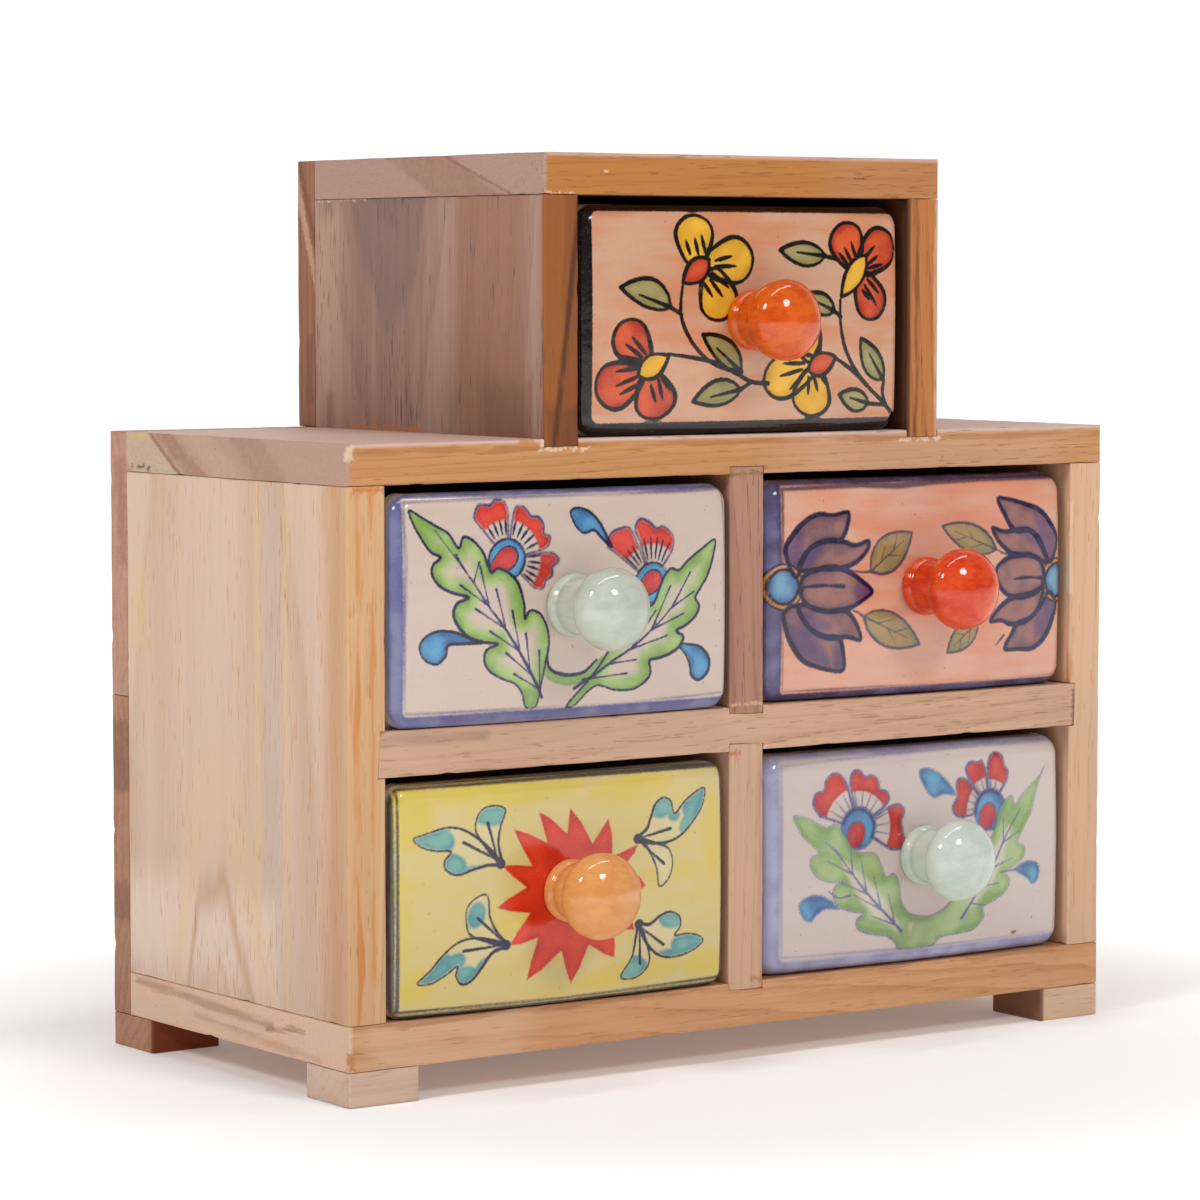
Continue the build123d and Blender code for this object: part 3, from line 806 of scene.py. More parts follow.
# ---- decoration: upper right drawer ----
def paint_upper_right(c):
    c.frame("border", -45.4, 50.6, -26.2, 27.2, 1.0)
    inner = (
        (-45, -25.6), (-45.4, 0), (-45, 26.4), (-20, 26.9), (-8, 26.4), (4, 27), (50, 27.4), (50.6, 0),
        (50.4, -25.8), (10, -26.4), (-45, -25.6))
    c.line("border_line", inner, 0.5, 0.9, 1.4, 2.0, 1.2, 1.8, 0.8, 0.5, 0.8, 1.2, 0.6)
    petals = (
        ((-41.4, 3.8), (-44.5, 10.6), (-41.6, 15.2), (-37.7, 18.4), (-33.8, 19.8), (-29.6, 19.4),
         (-24.7, 20), (-25.2, 16), (-27.4, 12.9), (-32, 12.8), (-36.2, 11.4), (-39, 8.2)),
        ((-40.4, 5.6), (-37.6, 10.4), (-32.4, 12.8), (-27, 12.6), (-22.4, 11.4), (-18.3, 12.4),
         (-18.8, 9.9), (-22.4, 7), (-27.4, 5.6), (-34, 5.6)),
        ((-40, 1.4), (-38.4, 4.2), (-34, 5.6), (-29, 5.9), (-24.5, 4.5), (-20.6, 2.2), (-17, -0.7),
         (-19.6, -2.7), (-23.4, -4.5), (-28.8, -5.4), (-34.4, -4.9), (-38.8, -2.6)),
        ((-40.4, -3.4), (-38.6, -7.8), (-34.9, -10.9), (-30.2, -12.4), (-25.2, -12.3), (-20.7, -13.3),
         (-21.5, -10.1), (-23.4, -7.3), (-26, -5.4), (-32, -5.4)),
        ((-41.2, -3.6), (-45, -5.4), (-44.4, -9.4), (-42.4, -13.7), (-38.8, -17.9), (-33.8, -19.9),
         (-28.8, -21.1), (-26, -20.8), (-26, -17.3), (-27.6, -12.6), (-33, -11.8), (-38, -8.6)),
        ((45.4, 4.6), (41.6, 10.6), (37.6, 13.3), (32.2, 13.6), (28.6, 18), (26.4, 22.1), (31.2, 21.6),
         (36.9, 20.2), (41.9, 18.4), (45.6, 14.9), (48.2, 10.4)),
        ((44.4, 4.4), (40.6, 11), (37.4, 13.4), (32.6, 13.5), (28.4, 13.3), (24.3, 14.4), (26, 11.3),
         (28.4, 9.1), (31.6, 7.2), (38, 6.6)),
        ((43.4, 0.6), (42, 4.8), (38, 6.6), (33.4, 6.7), (29.1, 5.9), (25.6, 3.4), (26.6, -0.9),
         (29.8, -3.7), (34.9, -4.5), (39.8, -3.6), (42.6, -1.8)),
        ((43, -2.6), (38.6, -3.6), (32, -4.4), (28.8, -5.6), (26, -7.6), (23.6, -10.4), (27.6, -10.4),
         (31.2, -11.6), (36.2, -11), (40.6, -8.4)),
        ((45, -3.6), (47.8, -6.6), (46.2, -11.6), (43.4, -15.9), (39.1, -18.4), (34.1, -18.4), (29, -18),
         (31.2, -14.4), (33.4, -11.6), (38, -10.2), (42.2, -7)))
    for outline in petals:
        c.outlined("mauve", "navy", curve(outline), 1.5, 1.9, 1.3, 1.8, 1.4)
    # where the colour pooled: petal, middle, half sizes, lean
    pools = (
        (4, (-38, -15), 10, 5, -40), (4, (-27, -17), 3.4, 4.6, 0), (3, (-36, -8), 7, 2.6, -15),
        (1, (-36.4, 9), 5.6, 2.6, 40), (0, (-41.4, 10), 3, 6, -20), (2, (-20, -0.6), 4, 3.6, 0),
        (5, (44, 13.6), 4, 9, 20), (9, (43.6, -10), 3.4, 7, -30), (6, (40, 10.6), 5, 2.4, -30))
    for which, middle, long_r, short_r, lean in pools:
        c.area("indigo", round_shape(middle, long_r, short_r, lean), within=curve(petals[which]))
    for start, end in (((-39.5, 1.1), (-26.2, 0.9)), ((32, 0.5), (43, 0.3))):
        between = (np.array(start) + end) / 2 + (0, 0.3)
        c.stroke("navy", (start, between, end), 0.8, 1.3, 0.9, 1.5)
    angles = np.linspace(0, 2 * np.pi, 30, endpoint=False)
    circle = np.stack([np.cos(angles), np.sin(angles)], 1)
    for eye in ((-45.0, 1.4), (48.2, -0.4)):
        c.outlined("ochre", "navy", circle * 5.9 + eye, 0.8)
        c.outlined("blue", "navy", circle * 4.5 + eye, 1.1)
    leaves = (
        ((-3.8, 14.1), (-17.6, 4.4), 5, 4.4), ((-1, -15.3), (-19.8, -7.2), 4.4, 4.6),
        ((6.5, 15.5), (25.6, 8.6), 3.6, 3.8), ((8.4, -18), (19.2, -10.4), 3.2, 3.4))
    for tip, base, left, right in leaves:
        c.outlined("olive", "leaf_line", leaf(tip, base, left, right), 0.8, 1.1)
        tip, base = np.array(tip), np.array(base)
        axis = tip - base
        side = np.array([-axis[1], axis[0]]) / np.hypot(*axis)
        c.line("leaf_line", [base, base + axis * 0.8], 0.8, 0.4)
        for share, sign in ((0.25, 1), (0.42, -1), (0.55, 1)):
            tip = base + axis * (share + 0.2) + side * sign * 2.6
            c.line("leaf_line", [base + axis * share, tip], 0.6, 0.4)
    for stem in (((-24.6, 5.0), (-20.9, 4.4), (-17.6, 4.4)), ((-24.4, -5.2), (-21.8, -6.0), (-19.8, -7.2)),
                 ((25.4, 8.8), (28.0, 7.6), (30.4, 7.0)), ((25.8, -16.8), (27.4, -15.4), (28.4, -14.4))):
        c.stroke("leaf_line", stem, 0.7, 1.0)


# ---- decoration: lower left drawer ----
def paint_lower_left(c):
    c.frame("border", -49.5, 50.4, -27.4, 28.3, 1.5)
    edge = (
        (-48.9, -26.6), (-49, 0), (-48.7, 27.8), (0, 28.1), (49.4, 28), (49.8, 0), (49.4, -26.6), (0, -27),
        (-48.9, -26.6))
    c.line("border", edge, 1.3, 0.9, 1.2, 1.6, 1.2, 0.8, 1.1)
    washes = (
        ((-46, 22), 8, 10, 0), ((-20, 26), 26, 4.4, 0), ((20, 24), 14, 4, 4), ((-48, -4), 3, 14, 0),
        ((-44, -20), 6, 5, 30), ((34, 2), 12, 2.4, 2), ((20, -22.6), 18, 4, 4), ((44, -22.6), 8, 4.4, 0),
        ((-14, -8), 14, 3, 3), ((46, 10), 4, 12, 0))
    for middle, long_r, short_r, lean in washes:
        c.area("wash", round_shape(middle, long_r, short_r, lean))
    tips = (
        (-16.3, 16.4), (-8.6, 20.3), (0.9, 20.6), (12.6, 17.2), (22, 9.8), (24.4, -0.8), (20.9, -12),
        (14.4, -18.4), (1, -23.8), (-12.4, -21.8), (-17.6, -12.6), (-21.5, -2.9), (-19.8, 7.6))
    valleys = (
        (-6.3, 12.4), (-0.2, 14.2), (7.6, 11.2), (13.8, 7.4), (17.6, 4.6), (17.2, -4.4), (13.8, -10.4),
        (6.4, -14.4), (-2, -15.2), (-9.2, -11.4), (-11.6, -5), (-12.7, 1.6), (-10.9, 6.9))
    burst = []
    for i, (tip, valley) in enumerate(zip(tips, valleys)):
        before = np.array(valleys[i - 1])
        tip, valley = np.array(tip), np.array(valley)
        out = tip * 0.12
        burst += [before, (before + tip) / 2 + out * 0.35, tip, (tip + valley) / 2 + out * 0.35]
    c.area("red", np.array(burst))
    # base, big leaf, small leaf, the parts that are filled in, inner strokes
    sprigs = (
        ((-19.9, 8),
         ((-23.8, 7.9), (-28.1, 7.1), (-32.4, 6.1), (-35.6, 7.5), (-36, 9.8), (-34.2, 12), (-38.8, 12.5),
          (-42.4, 13.6), (-44.6, 15.7), (-41.3, 16.7), (-38.8, 17.3), (-34.9, 17.9), (-30.9, 17.2),
          (-26.6, 14.8), (-23.1, 11.8)),
         ((-20.6, 12.9), (-19.9, 17.2), (-18.4, 21.3), (-21.6, 22.4), (-24.9, 21.8), (-26.9, 19),
          (-26.4, 15.2)),
         (((-41, 15.6), 8.4, 4.6, -12), ((-34.6, 8), 5.2, 3.8, 0), ((-28.4, 6.6), 4, 1.8, 0),
          ((-22, 22.2), 7, 5, 0)),
         (((-20.6, 8.8), (-30.6, 14)), ((-21, 9.4), (-23.6, 18.4)))),
        ((21.7, 11.1),
         ((24.6, 13.4), (25.8, 15.8), (27.4, 19.3), (30.1, 20.9), (32.6, 19.7), (33.6, 16.6), (36.9, 19.3),
          (40.5, 21.5), (43.7, 22.3), (43, 18.3), (40.5, 15), (36.9, 11.8), (32.6, 9.8), (26.9, 9.6)),
         ((24.8, 8.6), (27.6, 3.4), (28.6, -1.4), (31.6, 0.4), (32.9, 4.3), (31.6, 7.8), (28.4, 9.3)),
         (((29.2, 20), 4.6, 4.6, 0), ((33.4, 16.2), 2.2, 1.8, 0), ((42, 20.6), 7.4, 4.2, 45),
          ((38.2, 14.4), 4, 2.2, 40)),
         (((22.6, 11.3), (32.3, 12.9)), ((23.4, 9.4), (30.1, 4.2)))),
        ((-18.4, -12.3),
         ((-23.1, -10.6), (-28.1, -9.8), (-32.4, -10.7), (-36.6, -13.5), (-40.2, -17.1), (-43.6, -19.8),
          (-40.2, -20.2), (-35.9, -18.5), (-32.3, -16.4), (-32.7, -18.9), (-30.9, -21), (-28.1, -20.2),
          (-25.2, -17.1), (-22.4, -13.9)),
         ((-21, -9), (-23.1, -5), (-23.9, 0.4), (-27, 0.1), (-29.6, -2.1), (-29.9, -5.7), (-28, -9.4)),
         (((-40, -17.8), 7.4, 3.6, 35), ((-33, -15.6), 3.4, 2.6, 30), ((-29.8, -19.6), 4.4, 3.4, 0),
          ((-25, -17.4), 3.4, 2.2, 45), ((-27, -4.2), 3.6, 2.8, 70)),
         (((-19.6, -12.2), (-30.6, -12.8)), ((-19.2, -11.4), (-26.6, -5)))),
        ((22.1, -10.5),
         ((25.5, -10.9), (29.1, -8.9), (32.3, -8.3), (35.1, -9.6), (35.6, -12.1), (33.8, -14.4),
          (37.6, -14.3), (41.2, -15), (43.2, -16.6), (40.5, -18.5), (36.2, -19.7), (31.6, -19.8),
          (27.6, -18.4), (24.1, -14.8)),
         ((21.2, -13.6), (19.9, -18.8), (16.6, -23.3), (19.8, -24.2), (23.4, -23.1), (25.6, -20.3),
          (24.9, -16.2)),
         (((33, -9.6), 4.8, 3.2, 0), ((38.6, -17.4), 6.4, 3.6, -8), ((32.4, -19.4), 5.2, 2, 0),
          ((20.4, -22.6), 5.4, 4.6, 0)),
         (((23, -11.6), (30.1, -16.4)), ((22.3, -12.2), (22.6, -20.6)))))
    for base, big, small, fills, strokes in sprigs:
        shapes = [curve((base,) + part) for part in (big, small)]
        for shape in shapes:
            c.area("leaf", shape)
            c.ring("navy", shape, 1.2, 0.8, 0.7, 0.6, 0.9, 1.2)
            for middle, long_r, short_r, lean in fills:
                c.area("turquoise", round_shape(middle, long_r, short_r, lean), within=shape)
        c.lines("navy", strokes, 0.7, 0.9, 1.1)
        c.area("navy", round_shape(base, 1.5, 1.4))


# ---- glaze and painted ground ----
WHITE_GROUND = ((205, 185, 172), (193, 169, 154))
SPECK = (120, 90, 74)
CLAY = ((224, 212, 200), (206, 190, 176))
GLASS = 1.5                 # refractive index of the glaze
# name: painter, ground (light, dark), strength of its horizontal wash, inks from the bottom up:
#       ink: (thin colour, full colour, edge softness in mm, coverage, depth in mm of its fade, if any)
FRONTS = {
    "top": (paint_top, ((199, 157, 130), (201, 122, 78)), 0.75, {
        "yellow": ((230, 178, 58), (206, 150, 24), 0.35, 0.97),
        "red": ((210, 84, 40), (162, 36, 12), 0.35, 0.96),
        "olive": ((158, 148, 96), (124, 122, 64), 0.35, 0.92),
        "black": ((26, 13, 10), (6, 4, 4), 0.25, 1),
        "heart_red": ((206, 84, 46), (180, 48, 22), 0.35, 0.98),
        "heart_yellow": ((228, 174, 60), (212, 156, 30), 0.35, 0.98),
        "rim": ((26, 13, 10), (6, 4, 4), 0.25, 1)}),
    "upper_left": (paint_upper_left, WHITE_GROUND, 0.25, {
        "border": ((112, 116, 156), (74, 80, 136), 0.5, 0.94),
        "border_line": ((66, 66, 132), (42, 42, 104), 0.8, 0.8),
        "stem": ((160, 184, 112), (120, 156, 72), 0.5, 0.9),
        "white": (*WHITE_GROUND, 0.4, 1),
        "red": ((218, 60, 42), (184, 16, 14), 0.8, 0.96),
        "blue": ((80, 160, 198), (36, 118, 168), 0.35, 0.95),
        "core": ((216, 72, 54), (182, 20, 20), 0.35, 0.97),
        "drop": ((78, 152, 194), (18, 94, 150), 0.35, 0.96),
        "violet": ((66, 58, 126), (34, 28, 88), 0.4, 0.9),
        "spoke": ((24, 20, 78), (8, 8, 44), 0.28, 0.98),
        "green": ((162, 188, 112), (116, 152, 66), 0.4, 0.95, 5.2),
        "vein": ((36, 26, 116), (16, 10, 82), 0.28, 0.97),
        "navy": ((18, 14, 92), (7, 5, 56), 0.28, 0.98)}),
    "upper_right": (paint_upper_right, ((214, 163, 140), (214, 131, 98)), 0.75, {
        "border": ((96, 98, 146), (48, 48, 94), 0.5, 0.93),
        "border_line": ((40, 40, 88), (22, 22, 60), 0.6, 0.8),
        "mauve": ((150, 102, 96), (98, 66, 80), 0.45, 0.94),
        "indigo": ((88, 66, 106), (58, 48, 100), 2.2, 0.72),
        "ochre": ((214, 156, 90), (190, 128, 60), 0.35, 0.95),
        "blue": ((104, 158, 186), (52, 104, 150), 0.4, 0.95),
        "olive": ((170, 140, 88), (122, 122, 76), 0.45, 0.9),
        "leaf_line": ((70, 72, 96), (42, 48, 78), 0.35, 0.9),
        "navy": ((18, 8, 84), (6, 3, 48), 0.4, 0.98)}),
    "lower_left": (paint_lower_left, ((212, 193, 132), (212, 188, 96)), 0.6, {
        "wash": ((214, 190, 90), (216, 186, 66), 3, 0.8),
        "leaf": ((216, 204, 160), (208, 196, 150), 0.5, 0.7),
        "red": ((222, 50, 24), (196, 16, 6), 0.4, 0.97),
        "turquoise": ((104, 170, 164), (44, 134, 150), 0.9, 0.92),
        "border": ((66, 68, 96), (28, 30, 50), 0.45, 0.9),
        "navy": ((16, 24, 78), (6, 10, 48), 0.3, 0.97)}),
    "lower_right": (paint_lower_right, ((207, 191, 184), (193, 175, 168)), 0.25, {
        "border": ((160, 164, 200), (124, 128, 176), 1.1, 0.85),
        "border_line": ((104, 106, 164), (78, 80, 142), 1, 0.7),
        "white": ((207, 191, 184), (193, 175, 168), 0.5, 1),
        "red": ((208, 60, 48), (176, 18, 20), 0.6, 0.96),
        "blue": ((90, 156, 192), (32, 100, 154), 0.45, 0.95),
        "core": ((208, 62, 50), (174, 20, 22), 0.45, 0.95),
        "drop": ((90, 156, 192), (24, 92, 150), 0.5, 0.95),
        "violet": ((86, 84, 146), (48, 44, 108), 0.5, 0.85),
        "green": ((164, 186, 126), (116, 152, 80), 0.6, 0.94),
        "rib": ((210, 200, 184), (204, 192, 174), 1.3, 0.9),
        "vein": ((104, 104, 168), (66, 66, 134), 0.4, 0.88),
        "navy": ((84, 100, 136), (52, 64, 108), 0.5, 0.75),
        "speck": ((150, 90, 50), (120, 64, 34), 0.4, 0.9)}),
}


def glaze(name, ground, wash, inks, seed):
    """Glossy fired glaze over a brushed ground and painted inks, on a body of pale clay."""
    g = new_graph(name)
    light, dark = (rgb(shade) for shade in ground)
    shift = (seed * 13.0, seed * 7.0, seed * 3.0)

    # the ground: brushed sideways, with grit and a few dark specks
    brushed = g.noise(shift, 0.5, counts=(70, 400, 380))
    soft = g.noise(shift, 0.06, 2, counts=(600, 1000, 1000))
    streak = g.plus(g.times(brushed, 0.5), g.times(soft, 0.5))
    color = g.mix(g.times(g.fit(streak, 0.40, 0.64), wash), light, dark)
    grit = g.noise(shift, 1.6, 2)
    color = g.mix(g.fit(grit, 0.35, 0.7, 0.0, 0.14), color, dark)
    speck = g.noise((shift[2], shift[0], shift[1]), 1.1, 0)
    color = g.mix(g.fit(speck, 0.84, 0.86, 0.0, 0.5), color, rgb(SPECK))
    edge = g.noise(shift, 1.3, 3, 0.6)
    drag = g.noise((shift[1], shift[2], shift[0]), 2.2, 2, counts=(500, 1000, 900))
    pool = g.noise((shift[1], shift[0], shift[2]), 0.13, 1)
    roughness = g.times(g.minus(edge, 0.5), 0.45)
    dry = g.fit(drag, 0.26, 0.46, 0.93, 1.0)

    # each ink covers where its distance is below 0, and is fuller where it pooled and near its outline
    for ink, (thin, full, softness, cover, *fade) in inks.items():
        distance = g.plus(g.attribute(ink), roughness)
        amount = g.fit(distance, -softness, softness * 0.4, cover, 0.0)
        if fade:
            depth = g.plus(distance, g.times(g.minus(pool, 0.5), 2.6))
            amount = g.times(amount, g.fit(depth, -fade[0], -fade[0] * 0.35))
        amount = g.times(amount, dry)
        settled = g.plus(g.fit(pool, 0.3, 0.7, 0.0, 0.5), g.fit(distance, -2.4, -0.2, 0.0, 0.34))
        uneven = g.plus(settled, g.times(edge, 0.32))
        shade = g.mix(g.fit(uneven, 0.15, 0.95), rgb(thin), rgb(full))
        color = g.mix(amount, color, shade)
    painted = g.attribute("painted")
    clay = g.mix(g.fit(grit, 0.3, 0.75, 0.0, 0.3), *(rgb(shade) for shade in CLAY))
    color = g.mix(painted, clay, color)
    g.feed(Base_Color=color, Roughness=g.fit(grit, 0.2, 0.8, 0.10, 0.17), IOR=GLASS)
    wave = g.noise(shift, 0.16, 2)
    g.bump(g.plus(wave, g.times(edge, 0.05)), 0.25, 0.0006)
    return g.owner


def knob_glaze(name, light, full, pooled_and_shade, seed):
    """Thick glossy colour, brushed on, that pools where the neck meets the collar, darkened there also as
    painted shade.
    """
    g = new_graph(name)
    pooled_and_shade = rgb(pooled_and_shade)
    shift = (seed * 9.0, seed * 4.0, seed * 2.0)
    brushed = g.noise(shift, 0.55, 4, 0.62, 0.8, counts=(500, 140, 1000))
    cloudy = g.noise(shift, 0.14, 2)
    tone = g.plus(g.times(brushed, 0.55), g.times(cloudy, 0.45))
    color = g.mix(g.fit(tone, 0.38, 0.62), rgb(light), rgb(full))
    pit = g.noise(shift, 1.1, 1)
    color = g.mix(g.fit(pit, 0.74, 0.80, 0.0, 0.5), color, pooled_and_shade)
    # the waist is darker: pooled glaze, and painted shade in the crease of the neck
    color = g.mix(g.times(g.attribute("waist"), 0.3), color, pooled_and_shade)
    g.feed(Base_Color=color, Roughness=g.fit(brushed, 0.3, 0.7, 0.05, 0.10), IOR=GLASS)
    g.bump(g.noise(shift, 0.22, 2), 0.2, 0.0006)
    return g.owner


# ---- drawers ----
GRID = 0.34 * MM            # spacing of the mesh that carries the painted shapes
ROLL_STEPS = 9
FRONT_T = 9.0 * MM          # thickness of the front wall
CROWN = 2.2 * MM            # how far the middle of a front stands out past its side edges
UNEVEN = 0.05 * MM          # how far the hand-made face waves
OVERLAP = 0.05 * MM         # how far the tub reaches into the front
BACK_INSET = 0.4 * MM       # how much the front's back draws in
WALL_ROWS = (0.25, 0.5, 0.75, 0.93, 1.0)    # rows of the front's sides, as shares of its thickness
# rolled edge and outline corners of each front, mm
ROLLS = {
    "top": (4, 5.5),
    "upper_left": (3.8, 5.2),
    "upper_right": (4.2, 5.5),
    "lower_left": (3.2, 4.5),
    "lower_right": (4.2, 5.5)}


def front_lines(half, roll):
    """Grid lines across a front, close together where its edge rolls over."""
    bend = [half - roll * (1 - math.sin(math.pi / 2 * i / ROLL_STEPS)) for i in range(1, ROLL_STEPS + 1)]
    flat = half - roll
    count = int(2 * flat / GRID)
    middle = list(np.linspace(-flat, flat, count + 1))
    return np.array([-x for x in reversed(bend)] + middle + bend)


def solid(name, verts, faces):
    """A closed mesh with its faces turned outward."""
    mesh = bpy.data.meshes.new(name)
    mesh.from_pydata(verts, [], faces)
    work = bmesh.new()
    work.from_mesh(mesh)
    bmesh.ops.recalc_face_normals(work, faces=work.faces)
    work.to_mesh(mesh)
    work.free()
    return mesh


def front_mesh(name, low, high, middle_z):
    """The front wall: a crowned, slightly uneven face with a rolled edge, straight sides and a flat back."""
    roll, corner = (value * MM for value in ROLLS[name])
    half_w = (high.x - low.x) / 2
    half_h = high.z - middle_z
    middle_x = (high.x + low.x) / 2
    xs, zs = front_lines(half_w, roll), front_lines(half_h, roll)
    x, z = np.meshgrid(xs, zs, indexing="ij")

    # the grid's corners are drawn in to round ones
    over_x = np.clip((np.abs(x) - (half_w - corner)) / corner, 0, 1)
    over_z = np.clip((np.abs(z) - (half_h - corner)) / corner, 0, 1)
    in_corner = (over_x > 0) & (over_z > 0)
    round_x = np.where(in_corner, over_x * np.sqrt(1 - over_z**2 / 2), over_x)
    round_z = np.where(in_corner, over_z * np.sqrt(1 - over_x**2 / 2), over_z)
    x = np.where(over_x > 0, np.sign(x) * (half_w - corner + corner * round_x), x)
    z = np.where(over_z > 0, np.sign(z) * (half_h - corner + corner * round_z), z)

    # the roll, the crown and the unevenness of the face
    straight = np.minimum(half_w - np.abs(x), half_h - np.abs(z))
    inward = np.where(in_corner, corner * (1 - np.hypot(round_x, round_z)), straight)
    inward = np.clip(inward, 0, roll)
    rolled = roll - np.sqrt(np.maximum(roll**2 - (roll - inward) ** 2, 0))
    ball = (half_w**2 + CROWN**2) / (2 * CROWN)
    crowned = ball - np.sqrt(ball**2 - x**2 - z**2)
    seed = len(name) * 1.7
    uneven = np.sin(x / MM / 11 + seed) * np.sin(z / MM / 9 + 2 * seed)
    uneven = uneven + 0.5 * np.sin((x + z) / MM / 5 + seed)
    y = low.y + crowned + rolled + UNEVEN * (1 + uneven)
    around = np.arctan2(z, x)
    squeeze = 0.0016 * (1 + np.sin(2 * around + seed)) + 0.0010 * (1 + np.sin(5 * around + 3 * seed))
    x, z = x * (1 - squeeze), z * (1 - squeeze)

    # the face, then rows of side wall back to one flat face
    columns, rows = x.shape
    verts = np.stack([x + middle_x, y, z + middle_z], 2).reshape(-1, 3)
    index = np.arange(columns * rows).reshape(columns, rows)
    quads = np.stack([index[:-1, :-1], index[1:, :-1], index[1:, 1:], index[:-1, 1:]], 2).reshape(-1, 4)
    rim = np.concatenate([index[:, 0], index[-1, 1:], index[-2::-1, -1], index[0, -2:0:-1]])
    back_y = low.y + FRONT_T
    ring = rim
    faces = quads.tolist()
    for depth in WALL_ROWS:
        row = verts[rim].copy()
        row[:, Y] += (back_y - row[:, Y]) * depth
        if depth == WALL_ROWS[-1]:
            middle = np.array([middle_x, back_y, middle_z])
            row = middle + (row - middle) * (1 - BACK_INSET / half_h)
        start = len(verts)
        verts = np.concatenate([verts, row])
        new = np.arange(start, start + len(rim))
        following, new_following = np.roll(ring, -1), np.roll(new, -1)
        faces += np.stack([ring, new, new_following, following], 1).tolist()
        ring = new
    faces.append(ring.tolist())
    return solid(f"front_{name}", verts.tolist(), faces)


def joined(name, first, second, operation):
    """The union or overlap of two closed meshes."""
    one, two = add_object("first", first), add_object("second", second)
    cut = one.modifiers.new("join", "BOOLEAN")
    cut.operation = operation
    cut.solver = "MANIFOLD"
    cut.object = two
    bpy.context.view_layer.update()
    result = bpy.data.meshes.new_from_object(one.evaluated_get(bpy.context.evaluated_depsgraph_get()))
    result.name = name
    bpy.data.objects.remove(one)
    bpy.data.objects.remove(two)
    return result


def box_mesh(low, high):
    work = bmesh.new()
    bmesh.ops.create_cube(work, size=1.0)
    for vert in work.verts:
        vert.co = Vector([low[i] + (vert.co[i] + 0.5) * (high[i] - low[i]) for i in range(3)])
    return finished(work, "block")


def closed_copy(node):
    mesh = finished(cad_mesh(node), node)
    mesh.materials.clear()
    return mesh


def set_float(mesh, name, values):
    attribute = mesh.attributes.new(name, "FLOAT", "POINT")
    attribute.data.foreach_set("value", np.asarray(values, np.float32))


def corners(mesh):
    """The places of a mesh's corners, a row for each."""
    place = np.empty(len(mesh.vertices) * 3, np.float32)
    mesh.vertices.foreach_get("co", place)
    return place.reshape(-1, 3).astype(float)


def make_drawer(name, seed):
    """The painted front joined to the CAD node's tub, with its inks as distances on its corners."""
    painter, ground, wash, inks = FRONTS[name]
    node = f"drawer_{name}"
    low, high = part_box(node)
    knob_low, knob_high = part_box(f"knob_{name}")
    middle_z = (knob_low.z + knob_high.z) / 2
    front = front_mesh(name, low, high, middle_z)
    seam = low.y + FRONT_T - OVERLAP
    behind = box_mesh((low.x - 1, seam, low.z - 1), (high.x + 1, high.y + 1, high.z + 1))
    tub = joined("tub", closed_copy(node), behind, "INTERSECT")
    mesh = joined(node, front, tub, "UNION")
    place = corners(mesh)
    flat = np.stack([place[:, X] - (low.x + high.x) / 2, place[:, Z] - middle_z], 1) / MM
    roll = ROLLS[name][0] * MM
    depth = place[:, Y] - low.y - CROWN
    shown = np.clip((roll * 1.05 - depth) / (1.2 * MM), 0, 1)
    set_float(mesh, "painted", shown)
    canvas = Canvas(flat[shown > 0])
    painter(canvas)
    for ink in inks:
        values = np.full(len(place), Canvas.REACH)
        values[shown > 0] = canvas.ink(ink)
        set_float(mesh, ink, values)
    mesh.shade_smooth()
    mesh.set_sharp_from_angle(angle=math.radians(40))
    material = glaze(f"glaze_{name}", ground, wash, inks, seed)
    return add_piece(f"{name}_drawer_front_and_tub", mesh, node, material)


# ---- knobs ----
# light, full and pooled colour of each knob; the pooled colour also paints shade in the waist
KNOB_COLORS = {
    "top": ((214, 94, 20), (196, 66, 4), (150, 50, 10)),
    "upper_left": ((193, 197, 184), (180, 187, 173), (152, 154, 140)),
    "upper_right": ((220, 78, 32), (202, 50, 14), (154, 32, 12)),
    "lower_left": ((230, 160, 96), (222, 146, 80), (176, 100, 48)),
    "lower_right": ((206, 216, 204), (192, 206, 192), (160, 170, 154))}
PROFILE_STEP = 0.02 * MM    # corners this close in depth lie on one circle of the turned shape
KNOB_ROWS = 90
KNOB_TURNS = 128
WAIST_AT = 4.2 * MM         # where the neck is thinnest, from the knob's foot
WAIST_HALF = 1.0 * MM


def run_along(points):
    """The length of a line up to each of its points."""
    return np.concatenate([[0], np.cumsum(np.hypot(*np.diff(points, axis=0).T))])


